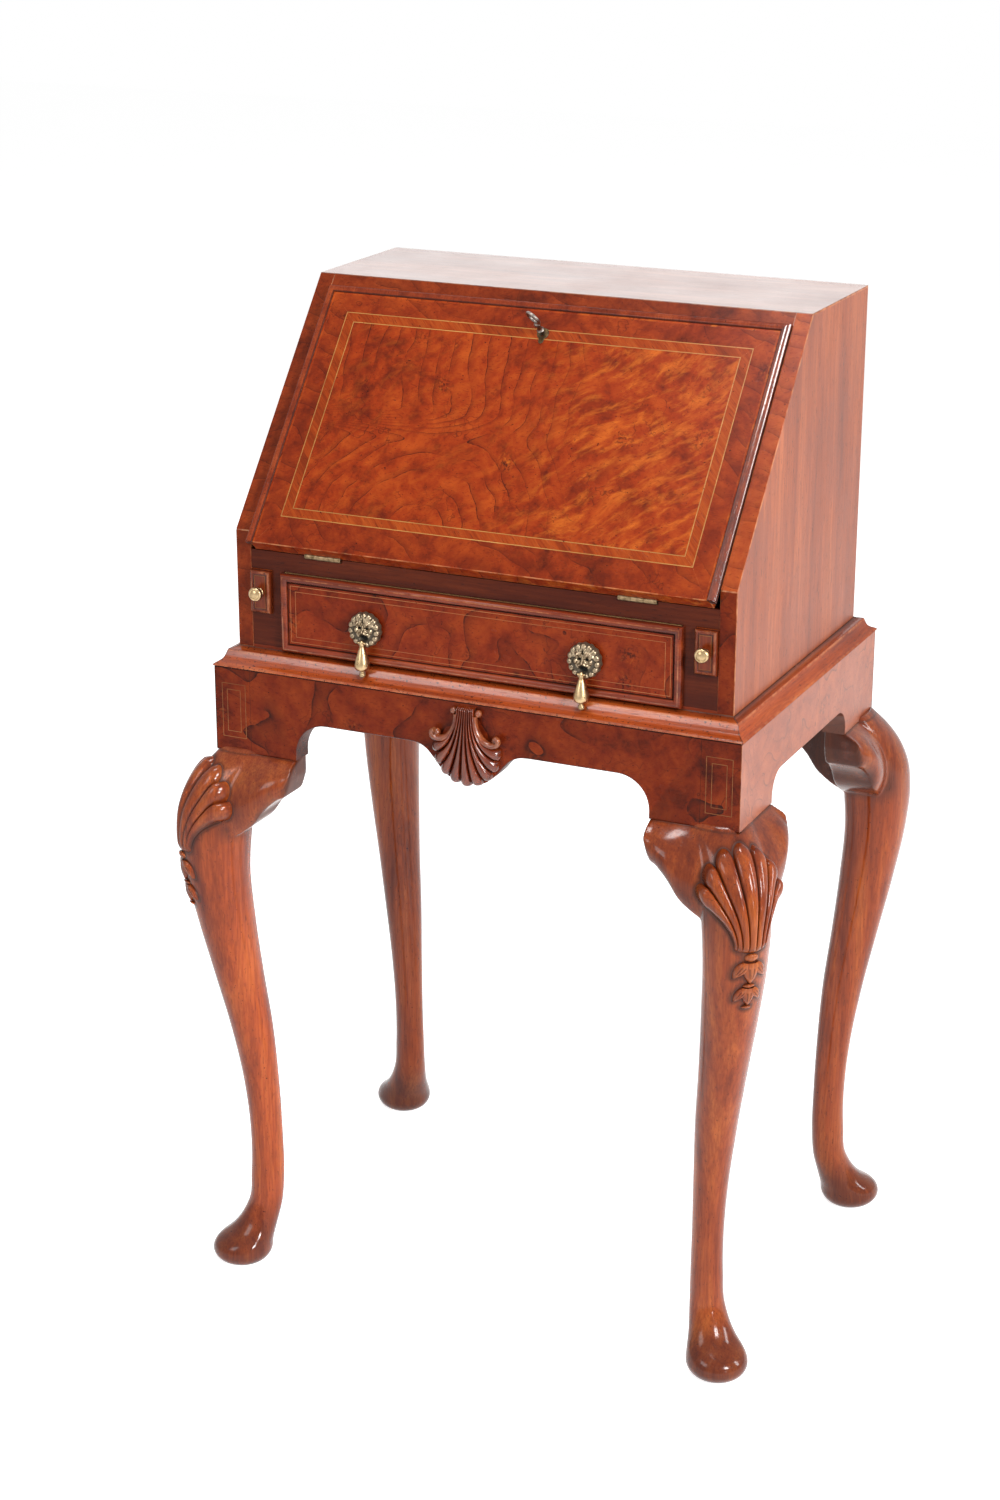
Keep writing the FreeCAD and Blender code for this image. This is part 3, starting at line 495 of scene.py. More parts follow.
        # burr clusters with dark grit and golden glints
        cells = tree.add("ShaderNodeTexVoronoi", {}, {"Vector": bent, "Scale": self.burrs}).outputs
        cell_tone = tree.add("ShaderNodeSeparateColor", {}, {0: cells["Color"]}).outputs[0]
        knot = tree.times(tree.smooth(cells["Distance"], 0.42, 0.05), tree.smooth(cell_tone, 0.72, 0.8))
        grit = tree.smooth(tree.noise(bent, 330.0, 3.0, 0.6), 0.46, 0.62)
        colour = tree.mix(tree.times(tree.times(knot, grit), self.burr_share), colour, self.stain_and_shade)
        glint = tree.smooth(tree.noise(bent, 150.0, 3.0, 0.6), 0.56, 0.7, 0.6)
        colour = tree.mix(tree.times(knot, glint), colour, self.flame)

        # pores
        pores = tree.noise(tree.drawn(bent, (self.pore_drawn, 1.0, 1.0)), self.pores, 2.0)
        pores = tree.smooth(pores, 0.58, 0.7, self.pore_share)
        colour = tree.mix(pores, colour, self.deep)
        self.polish(tree, colour, tree.rest(pores), self.pore_depth)


@dataclass(frozen=True)
class Metal(Finish):
    """Handled metal with tarnish in its hollows."""

    bright: Colour = (0.8, 0.55, 0.24)
    dull: Colour = (0.55, 0.34, 0.12)
    tarnish: Colour = (0.035, 0.024, 0.014)
    tarnish_rough: float = 0.75
    tarnish_share: float = 0.7
    gloss: float = 0.26
    gloss_swing: Flat = (-0.08, 0.14)
    clouds: float = 260.0
    spots: float = 1100.0
    spot_share: float = 0.5

    def grow(self, tree: Tree) -> None:
        """Fill the node tree of the material.

        Args:
            tree: the node tree.
        """
        place = tree.coords()
        cloud = tree.noise(place, self.clouds, 5.0, 0.65)
        colour = tree.ramp(cloud, ((0.3, self.dull), (0.62, self.bright)))
        spots = tree.smooth(tree.noise(place, self.spots, 3.0, 0.6), 0.62, 0.74, self.spot_share)
        colour = tree.mix(spots, colour, self.dull)
        hollow = tree.smooth(tree.depth("recess"), 0.1, 0.85)
        colour = tree.mix(hollow, colour, self.tarnish)
        rough = tree.between(cloud, *(self.gloss + change for change in self.gloss_swing))
        tree.surface({
            "Base Color": colour,
            "Roughness": tree.math("MAXIMUM", rough, tree.times(hollow, self.tarnish_rough)),
            "Metallic": tree.rest(tree.times(hollow, self.tarnish_share)),
            "Normal": tree.bump(cloud, 0.12, 0.0003),
        })


@dataclass(frozen=True)
class FloorPaint(Finish):
    """White studio floor that shows only the object's own shadow."""

    paint: Colour = (0.9, 0.9, 0.9)
    paler: Colour = (0.93, 0.93, 0.93)
    glow: float = 0.85

    def grow(self, tree: Tree) -> None:
        """Fill the node tree of the material.

        Args:
            tree: the node tree.
        """
        tint = tree.mix(tree.noise(tree.coords(), 3.0), self.paint, self.paler)
        matt = tree.add("ShaderNodeBsdfDiffuse", {}, {"Color": tint})
        shine = tree.add("ShaderNodeEmission", {}, {"Strength": tree.times(tree.seen(), self.glow)})
        both = tree.add("ShaderNodeAddShader", {}, {0: matt.outputs[0], 1: shine.outputs[0]})
        tree.add("ShaderNodeOutputMaterial", {}, {"Surface": both.outputs[0]})


# Palette

FALL_ROWS = ((1.0, 0.0, 0.0), (0.0, -SLOPE_SIN, SLOPE_COS), (0.0, SLOPE_COS, SLOPE_SIN))
GRAIN_X = ((0.0, 1.0, 0.0), (0.0, 0.0, 1.0), (1.0, 0.0, 0.0))
GRAIN_Y = ((1.0, 0.0, 0.0), (0.0, 0.0, 1.0), (0.0, 1.0, 0.0))
FEATHER_ROWS = ((0.707, 0.45, 0.545), (0.0, -SLOPE_SIN, SLOPE_COS), (-0.707, 0.45, 0.545))
RED_WALNUT = {"deep": (0.09, 0.012, 0.004), "mid": (0.23, 0.032, 0.008), "light": (0.34, 0.062, 0.015)}
ORANGE_WALNUT = {"deep": (0.16, 0.022, 0.005), "mid": (0.36, 0.06, 0.01), "light": (0.54, 0.12, 0.022)}
DARK_WALNUT = {"deep": (0.06, 0.007, 0.002), "mid": (0.17, 0.022, 0.004), "light": (0.29, 0.052, 0.01)}
PALE = {"deep": (0.28, 0.145, 0.055), "mid": (0.43, 0.255, 0.105), "light": (0.54, 0.35, 0.16)}
PALE_WORN = (0.66, 0.5, 0.3)

LEG_WALNUT = StraightWood(
    "leg walnut", deep=(0.11, 0.013, 0.003), mid=(0.31, 0.052, 0.009), light=(0.48, 0.112, 0.02),
    band=60.0, specular=0.26, gloss=0.11,
)
CARVED_WALNUT = replace(
    LEG_WALNUT, name="carved walnut", mid=(0.28, 0.049, 0.008), light=(0.44, 0.105, 0.017), gloss=0.1
)
APRON_WALNUT = StraightWood("apron walnut", **DARK_WALNUT, band=60.0, specular=0.55, gloss=0.12)
SIDE_WALNUT = StraightWood(
    "side walnut", deep=(0.15, 0.028, 0.008), mid=(0.3, 0.064, 0.017), light=(0.47, 0.122, 0.036),
    band=26.0, specular=0.34, gloss=0.34, pore_share=0.75,
)
TOP_WALNUT = StraightWood(
    "top walnut", deep=(0.09, 0.026, 0.014), mid=(0.18, 0.058, 0.03), light=(0.28, 0.105, 0.056),
    rows=GRAIN_X, band=30.0, specular=0.64, gloss=0.3,
)
RAIL_WALNUT = StraightWood(
    "rail walnut", deep=(0.045, 0.006, 0.003), mid=(0.085, 0.013, 0.004), light=(0.14, 0.024, 0.007),
    rows=GRAIN_X, specular=0.12,
)
MOULDING_X = StraightWood(
    "moulding walnut across", **ORANGE_WALNUT,
    rows=GRAIN_X, band=70.0, specular=0.5, gloss=0.16, pitted=0.655,
)
MOULDING_Y = StraightWood(
    "moulding walnut deep", **ORANGE_WALNUT, rows=GRAIN_Y, band=70.0, specular=0.1, gloss=0.16
)
BEAD_WALNUT = StraightWood("bead walnut", **RED_WALNUT, band=75.0, specular=0.16, gloss=0.2)
# The next finish is a lit copy of the bead finish, darker and far shinier, made for the highlight on the
# right bead only.
LIT_BEAD = StraightWood("lit bead", **DARK_WALNUT, band=75.0, specular=0.75, gloss=0.07)
LOPER_WALNUT = StraightWood("loper walnut", **DARK_WALNUT, band=55.0, specular=0.3)
BACK_WALNUT = StraightWood("back walnut", **RED_WALNUT, rows=GRAIN_X, gloss=0.5)
FEATHER_BAND = StraightWood(
    "feather band", deep=(0.15, 0.019, 0.004), mid=(0.32, 0.046, 0.007), light=(0.44, 0.088, 0.014),
    rows=FEATHER_ROWS, band=120.0, specular=0.1,
)
STRINGING = StraightWood(
    "stringing", deep=(0.3, 0.13, 0.035), mid=(0.48, 0.23, 0.06), light=(0.62, 0.34, 0.1),
    rows=GRAIN_X, band=90.0, pore_share=0.2,
)
DIM_STRING = replace(
    STRINGING, name="dim stringing",
    deep=(0.14, 0.04, 0.011), mid=(0.26, 0.088, 0.024), light=(0.36, 0.14, 0.042),
)
DRAWER_STRING = replace(
    STRINGING, name="drawer stringing",
    deep=(0.26, 0.075, 0.022), mid=(0.46, 0.15, 0.05), light=(0.6, 0.24, 0.085),
)
DRAWER_BEAD = StraightWood("drawer bead", **RED_WALNUT, rows=GRAIN_X, band=75.0, specular=0.3, gloss=0.14)
FALL_BURR = FiguredVeneer(
    "fall burr", deep=(0.1, 0.01, 0.003), mid=(0.275, 0.03, 0.005), light=(0.41, 0.063, 0.009),
    rows=FALL_ROWS, run=(62.0, 0.0, 8.0), swirl=3.0, arch_centre=(-0.072, 0.508), fade=(-0.01, 0.1),
    flame=(0.62, 0.15, 0.018), flame_share=0.68, line_wide=0.07, line_share=1.0, shade_share=0.4,
    blotch=0.3, specular=0.1,
)
BORDER_BURR = FiguredVeneer(
    "border burr", deep=(0.08, 0.009, 0.003), mid=(0.215, 0.024, 0.005), light=(0.34, 0.05, 0.008),
    rows=FALL_ROWS, run=(20.0, 0.0, 40.0), swirl=4.0, specular=0.1,
    flame=(0.44, 0.085, 0.012), flame_share=0.4,
)
# Lit and shaded copies of one edge burr: the lit copy for the right slope strip, the darker copy for the
# other strips.
LIT_EDGE = FiguredVeneer(
    "lit edge", deep=(0.12, 0.014, 0.003), mid=(0.28, 0.04, 0.008), light=(0.39, 0.07, 0.013),
    rows=FALL_ROWS, run=(20.0, 0.0, 60.0), swirl=4.0, specular=0.12,
    flame=(0.48, 0.11, 0.02), flame_share=0.4,
)
SHADED_EDGE_BURR = replace(
    LIT_EDGE, name="shaded edge burr", deep=(0.065, 0.008, 0.002), mid=(0.17, 0.021, 0.004),
    light=(0.28, 0.043, 0.009), flame=(0.36, 0.075, 0.012),
)
DRAWER_BURR = FiguredVeneer(
    "drawer burr", deep=(0.08, 0.008, 0.002), mid=(0.21, 0.023, 0.005), light=(0.31, 0.045, 0.008),
    flame=(0.4, 0.078, 0.013), flame_share=0.4, swirl=7.0, figure=10.0, shade_share=0.55,
    line_wide=0.08, line_share=0.85, specular=0.12,
)
FRIEZE_VENEER = FiguredVeneer(
    "frieze veneer", deep=(0.045, 0.005, 0.002), mid=(0.16, 0.018, 0.004), light=(0.25, 0.037, 0.007),
    flame=(0.32, 0.062, 0.013), flame_share=0.4, swirl=9.0, figure=8.0, shade_share=0.55,
    line_wide=0.1, line_share=0.85, specular=0.1,
)
FRIEZE_SIDE = FiguredVeneer(
    "side frieze", deep=(0.2, 0.04, 0.013), mid=(0.3, 0.066, 0.021), light=(0.4, 0.102, 0.034),
    rows=GRAIN_Y, flame=(0.44, 0.12, 0.036), flame_share=0.3, swirl=13.0, figure=9.0, shade_share=0.25,
    line_wide=0.1, line_share=0.55, specular=0.38, gloss=0.3,
)
PALE_WOOD = StraightWood("pale wood", **PALE, worn_and_lit=PALE_WORN, rows=GRAIN_X, gloss=0.55)
PALE_UPRIGHT = StraightWood("pale upright wood", **PALE, worn_and_lit=PALE_WORN, gloss=0.55)
BRASS = Metal("polished brass", bright=(0.5, 0.36, 0.2), dull=(0.33, 0.225, 0.11))
AGED_BRASS = Metal(
    "aged brass", bright=(0.34, 0.26, 0.17), dull=(0.17, 0.125, 0.08), tarnish=(0.012, 0.009, 0.006)
)
# The keyhole plate's dark brass is partly painted shade round the key.
DARK_BRASS = Metal("dark brass", bright=(0.1, 0.065, 0.03), dull=(0.035, 0.02, 0.01), gloss=0.45)
WORN_BRASS = Metal("worn brass", bright=(0.3, 0.21, 0.12), dull=(0.07, 0.045, 0.02), gloss=0.4)
STEEL = Metal("old steel", bright=(0.28, 0.24, 0.21), dull=(0.08, 0.065, 0.055), gloss=0.3)
FLOOR_PAINT = FloorPaint("studio floor")


# Studio

def show(name: str, data: bpy.types.ID) -> bpy.types.Object:
    """Put an object in the scene.

    Args:
        name: its name.
        data: its mesh, light or camera.

    Returns:
        The object.
    """
    thing = bpy.data.objects.new(name, data)
    bpy.context.scene.collection.objects.link(thing)
    return thing


@dataclass(frozen=True)
class Lamp:
    """A soft light: its size, its power in watts and the angle in degrees to which a grid narrows it."""

    name: str
    place: Triple
    aim: Triple
    size: Flat
    power: float
    spread: float = 180.0

    def hang(self) -> None:
        """Hang the light, faced to its aim."""
        data = bpy.data.lights.new(self.name, "AREA")
        data.shape = "RECTANGLE"
        data.size, data.size_y = self.size
        data.energy = self.power
        data.spread = radians(self.spread)
        light = show(self.name, data)
        light.location = self.place
        light.rotation_euler = (Vector(self.aim) - Vector(self.place)).to_track_quat("-Z", "Y").to_euler()


@dataclass
class Studio:
    """Camera, floor, soft lights and white surround."""

    eye: Triple = (1.0793, -2.4371, 1.4865)
    yaw: float = -0.436
    pitch: float = 0.341
    roll: float = 0.001
    lens: float = 67.654
    sensor: float = 36.0
    sight: float = 60.0
    floor_half: float = 9.0
    fill: float = 0.15
    lamps: tuple[Lamp, ...] = (
        Lamp("key", (2.2, -1.3, 1.75), (0.0, 0.0, 0.6), (0.65, 0.65), 60.0),
        Lamp("overhead", (0.0, -0.6, 2.6), (0.0, 0.0, 0.7), (0.6, 0.5), 21.0),
        Lamp("front card", (-0.95, -2.2, 1.6), (0.0, 0.0, 0.6), (1.0, 0.9), 15.5),
        Lamp("gridded card", (1.5, -1.3, 0.6), (-0.32, -0.2, 0.26), (0.3, 0.5), 0.55, 20.0),
        Lamp("right card", (2.6, 0.65, 1.5), (0.0, 0.0, 0.8), (0.45, 1.2), 30.0),
        Lamp("back card", (-1.2, 2.7, 2.0), (0.0, 0.1, 1.0), (2.6, 1.5), 20.0),
    )

    def camera(self) -> None:
        """Stand the camera where the photograph was taken from."""
        data = bpy.data.cameras.new("camera")
        data.lens = self.lens
        data.sensor_width = self.sensor
        data.clip_end = self.sight
        camera = show("camera", data)
        camera.location = self.eye
        turn = Matrix.Rotation(-self.yaw, 4, "Z") @ Matrix.Rotation(pi / 2 - self.pitch, 4, "X")
        camera.rotation_euler = (turn @ Matrix.Rotation(self.roll, 4, "Z")).to_euler()
        bpy.context.scene.camera = camera

    def floor(self) -> None:
        """Lay the floor."""
        mesh = bpy.data.meshes.new("floor")
        half = self.floor_half
        corners = [(x, y, 0.0) for x, y in rectangle(half, -half, half)]
        mesh.from_pydata(corners, [], [(0, 1, 2, 3)])
        mesh.materials.append(FLOOR_PAINT.material())
        show("floor", mesh)

    def surround(self) -> None:
        """Set the white surround, which lights the object more softly than it looks."""
        world = bpy.data.worlds.new("surround")
        bpy.context.scene.world = world
        tree = Tree(world)
        level = tree.between(tree.seen(), self.fill, 1.0)
        sky = tree.add("ShaderNodeBackground", {}, {"Strength": level, "Color": (1.0, 1.0, 1.0, 1.0)})
        tree.add("ShaderNodeOutputWorld", {}, {"Surface": sky.outputs[0]})

    def build(self) -> None:
        """Set up the whole studio."""
        bpy.context.scene.view_settings.view_transform = "Standard"
        self.camera()
        self.floor()
        self.surround()
        for lamp in self.lamps:
            lamp.hang()
        log.info("studio")


# Surfaces and shapes

def limited(values: np.ndarray) -> np.ndarray:
    """Keep values between 0 and 1."""
    return np.clip(values, 0.0, 1.0)


def grown(low: float, share: float) -> float:
    """Rise from low to 1 while share goes from 0 to 1."""
    return low + (1.0 - low) * share


def bulge(share: float) -> float:
    """Give the height of a half round of height 1, from -1 to 1 across it."""
    return sqrt(max(0.0, 1.0 - share ** 2))


@dataclass
class Surface:
    """Points and faces of a piece, with tones: over 0 darker (painted shade on wood, tarnish on brass),
    under 0 lighter (wear and painted highlights).
    """

    points: list = field(default_factory=list)
    faces: list = field(default_factory=list)
    tones: list = field(default_factory=list)
    merge_reach: float = 2e-6
    least_edge: float = 1e-7

    def sheet(self, rows: Sequence, shades: Optional[Sequence] = None, closed: bool = False) -> int:
        """Add a sheet of quads through rows of points.

        Args:
            rows: rows of points, all of one length.
            shades: tone of each point, in the same rows.
            closed: whether each row runs back to its start.

        Returns:
            Index of the sheet's first point.
        """
        start, wide = len(self.points), len(rows[0])
        for index, row in enumerate(rows):
            self.points.extend(row)
            self.tones.extend(shades[index] if shades is not None else [0.0] * wide)
        for index in range(len(rows) - 1):
            near = start + index * wide
            far = near + wide
            for column in range(wide if closed else wide - 1):
                following = (column + 1) % wide
                self.faces.append((near + column, near + following, far + following, far + column))
        return start

    def sleeve(self, rows: Sequence, shades: Optional[Sequence] = None) -> "Surface":
        """Add a skin through rings of points, open at its ends, and give the surface back."""
        self.sheet(rows, shades, True)
        return self

    def tube(self, rows: Sequence, shades: Optional[Sequence] = None) -> "Surface":
        """Add a closed skin through rings of points, with a lid at each end.

        Args:
            rows: the rings, all of one length.
            shades: tone of each point, in the same rings.

        Returns:
            The surface itself.
        """
        start, wide = self.sheet(rows, shades, True), len(rows[0])
        for first in (start, start + (len(rows) - 1) * wide):
            self.faces.append(tuple(range(first, first + wide)))
        return self

    def plate(self, top: Sequence, under: Sequence, shades: Sequence) -> "Surface":
        """Add a closed plate.

        Args:
            top: rows of points of the carved face.
            under: rows of points of the hidden face.
            shades: tones of the points of the carved face.

        Returns:
            The surface itself.
        """
        rows, wide = len(top), len(top[0])
        first = self.sheet(top, shades)
        second = self.sheet(under)
        rim = list(range(wide))
        rim += [row * wide + wide - 1 for row in range(1, rows)]
        rim += [(rows - 1) * wide + column for column in range(wide - 2, -1, -1)]
        rim += [row * wide for row in range(rows - 2, 0, -1)]
        for here, there in zip(rim, rim[1:] + rim[:1]):
            self.faces.append((first + here, first + there, second + there, second + here))
        return self

    def join(self, other: "Surface") -> None:
        """Take in another surface.

        Args:
            other: the surface whose points and faces are copied.
        """
        start = len(self.points)
        self.points.extend(other.points)
        self.tones.extend(other.tones)
        self.faces.extend(tuple(start + index for index in corners) for corners in other.faces)

    def mesh(self) -> Mesh:
        """Make the mesh, with points that meet joined and all faces turned outward.

        Returns:
            The mesh, with its darker tones in one attribute, recess, and its lighter tones, wear and painted
            highlights, in another.
        """
        mesh = bpy.data.meshes.new("skin")
        mesh.from_pydata([tuple(point) for point in self.points], [], self.faces)
        for name, sign in (("recess", 1.0), ("wear", -1.0)):
            shown = limited(sign * np.asarray(self.tones))
            mesh.attributes.new(name, "FLOAT", "POINT").data.foreach_set("value", shown)
        skin = bmesh.new()
        skin.from_mesh(mesh)
        bmesh.ops.remove_doubles(skin, verts=skin.verts, dist=self.merge_reach)
        bmesh.ops.dissolve_degenerate(skin, edges=skin.edges, dist=self.least_edge)
        bmesh.ops.recalc_face_normals(skin, faces=skin.faces)
        skin.to_mesh(mesh)
        skin.free()
        return mesh


@dataclass
class Piece:
    """One object of the scene: the body it rides on, its finish and the nodes that it stands for."""

    name: str
    body: Body
    slot: Slot
    finish: Finish
    nodes: tuple = ()
    crease: float = 40.0

    def place(self, shape: Union[Surface, Mesh]) -> None:
        """Put the piece in the scene.

        Args:
            shape: its surface or mesh, in the rest frame.
        """
        mesh = shape.mesh() if isinstance(shape, Surface) else shape
        mesh.name = self.name
        mesh.materials.clear()
        mesh.materials.append(self.finish.material())
        mesh.shade_smooth()
        mesh.set_sharp_from_angle(angle=radians(self.crease))
        thing = show(self.name, mesh)
        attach(thing, self.body.value)
        if self.nodes:
            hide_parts(*self.nodes)
        log.info("%s: %d faces on %s", self.name, len(mesh.polygons), self.body.value)


def eased(places: Sequence[float], values: Sequence, at: Sequence[float]) -> np.ndarray:
    """Draw a smooth curve through a table.

    Args:
        places: rising places of the table's rows.
        values: the rows, numbers or tuples.
        at: places where the curve is read.

    Returns:
        One row for each place that was asked.
    """
    knots, rows, at = np.asarray(places, float), np.asarray(values, float), np.asarray(at, float)
    slopes = np.gradient(rows, knots, axis=0)
    index = np.clip(np.searchsorted(knots, at) - 1, 0, len(knots) - 2)
    step = (knots[index + 1] - knots[index])[:, None]
    share = (at - knots[index])[:, None] / step
    near, far = rows[index], rows[index + 1]
    bend = share * share * (3.0 - 2.0 * share)
    leave = slopes[index] * step * share * (1.0 - share) ** 2
    arrive = slopes[index + 1] * step * share ** 2 * (share - 1.0)
    return near + (far - near) * bend + leave + arrive


def smooth_line(corners: Sequence[Flat], count: int) -> list[Flat]:
    """Draw a smooth line through flat corners.

    Args:
        corners: the corners.
        count: how many points the line has.

    Returns:
        The points.
    """
    rows = np.asarray(corners, float)
    spans = np.sqrt(np.linalg.norm(np.diff(rows, axis=0), axis=1))
    places = np.concatenate(([0.0], np.cumsum(spans)))
    return [tuple(row) for row in eased(places, rows, np.linspace(0.0, places[-1], count))]


def turned_line(corners: Sequence[Flat], count: int) -> list[Flat]:
    """Draw a smooth profile for the lathe through corners, with its ends on the axis."""
    line = [(max(0.0, radius), far) for radius, far in smooth_line(corners, count)]
    return [(0.0, line[0][1]), *line[1:-1], (0.0, line[-1][1])]


def arc(centre: Flat, radius: float, start: float, end: float, count: int) -> list[Flat]:
    """Give points on an arc, with its angles in degrees."""
    angles = np.radians(np.linspace(start, end, count))
    return [(centre[0] + radius * cos(a), centre[1] + radius * sin(a)) for a in angles]


def bent(first: Flat, second: Flat, third: Flat, run: float) -> Flat:
    """Bend a line between three points.

    Args:
        first: where the line starts.
        second: the point that it bends toward.
        third: where it ends.
        run: place on the line, from 0 to 1.

    Returns:
        The point there.
    """
    shares = ((1.0 - run) ** 2, 2.0 * run * (1.0 - run), run ** 2)
    axes = zip(first, second, third)
    return tuple(sum(share * place for share, place in zip(shares, axis)) for axis in axes)


def rectangle(half: float, low: float, high: float) -> list[Flat]:
    """Give the corners of an upright rectangle about the middle, counter-clockwise."""
    return [(-half, low), (half, low), (half, high), (-half, high)]


def framed(
    path: Sequence[Flat], profile: Sequence[Flat], place: Place, tones: Optional[Sequence[float]] = None
) -> Surface:
    """Sweep a closed profile round a closed flat path, mitred at its corners.

    Args:
        path: corners of the path, which runs counter-clockwise.
        profile: pairs of distance out from the path and height over it.
        place: puts two flat places and a height in space.
        tones: tone of each point of the profile.

    Returns:
        The frame.
    """
    rings = []
    for index, corner in enumerate(path):
        before = Vector(corner) - Vector(path[index - 1])
        after = Vector(path[(index + 1) % len(path)]) - Vector(corner)
        normals = [Vector((edge.y, -edge.x)).normalized() for edge in (before, after)]
        out = (normals[0] + normals[1]) / (1.0 + normals[0].dot(normals[1]))
        rings.append([place(corner[0] + out.x * far, corner[1] + out.y * far, up) for far, up in profile])
    rings += rings[:1]
    return Surface().sleeve(rings, [tones] * len(rings) if tones else None)


def stringing(size: Triple, near: float, far: float, levels: Flat, place: Place) -> Surface:
    """Inlay a rectangle of stringing between two distances out from it and two levels."""
    under, face = levels
    return framed(rectangle(*size), [(near, under), (far, under), (far, face), (near, face)], place)


def lathe(
    profile: Sequence[Flat], base: Vector, axis: Vector,
    shades: Optional[Sequence[float]] = None, steps: int = 40,
) -> Surface:
    """Turn a profile.

    Args:
        profile: pairs of radius and distance along the axis.
        base: where the axis starts.
        axis: its direction.
        shades: tone of each point of the profile.
        steps: how many points a ring has.

    Returns:
        The turned surface.
    """
    along = axis.normalized()
    side = along.orthogonal().normalized()
    other = along.cross(side)
    turns = [FULL_TURN * step / steps for step in range(steps)]
    rows = []
    for radius, far in profile:
        spot = base + along * far
        rows.append([spot + (side * cos(a) + other * sin(a)) * radius for a in turns])
    return Surface().sleeve(rows, [[tone] * steps for tone in shades or [0.0] * len(rows)])


def carving(cells: Sequence[Cell], wide: int) -> Surface:
    """Carve a plate from the top, underside and tone of each cell, with that many cells to a row."""
    rows = [cells[start:start + wide] for start in range(0, len(cells), wide)]
    return Surface().plate(*([[cell[part] for cell in row] for row in rows] for part in range(3)))


def board(face: Sequence[Vector], back: Sequence[Vector], rounding: float) -> Mesh:
    """Make a board with softened, worn edges.

    Args:
        face: corners of its face.
        back: corners of its back, in the same order.
        rounding: width of the softened edges.

    Returns:
        The mesh.
    """
    sharp, least_area, worn_strip = radians(20.0), 16.0 * rounding ** 2, rounding * 0.9
    solid = bmesh.new()
    count = len(face)
    points = [solid.verts.new(corner) for corner in list(face) + list(back)]
    solid.faces.new(points[:count])
    solid.faces.new(points[count:][::-1])
    for index in range(count):
        after = (index + 1) % count
        solid.faces.new((points[index], points[count + index], points[count + after], points[after]))
    bmesh.ops.recalc_face_normals(solid, faces=solid.faces)
    edges = [edge for edge in solid.edges if edge.calc_face_angle(0.0) > sharp]
    eased_edges = bmesh.ops.bevel(
        solid, geom=edges, offset=rounding, segments=3, profile=0.5, affect="EDGES", clamp_overlap=True
    )
    wear = solid.verts.layers.float.new("wear")
    soft = set(eased_edges["faces"])
    for strip in soft:
        for vertex in strip.verts:
            vertex[wear] = 1.0
    broad = [flat for flat in solid.faces if flat not in soft and flat.calc_area() > least_area]
    bmesh.ops.inset_individual(solid, faces=broad, thickness=worn_strip, use_even_offset=True)
    for flat in broad:
        for vertex in flat.verts:
            vertex[wear] = 0.0
    mesh = bpy.data.meshes.new("board")
    solid.to_mesh(mesh)
    solid.free()
    return mesh


# Legs and carvings of the stand

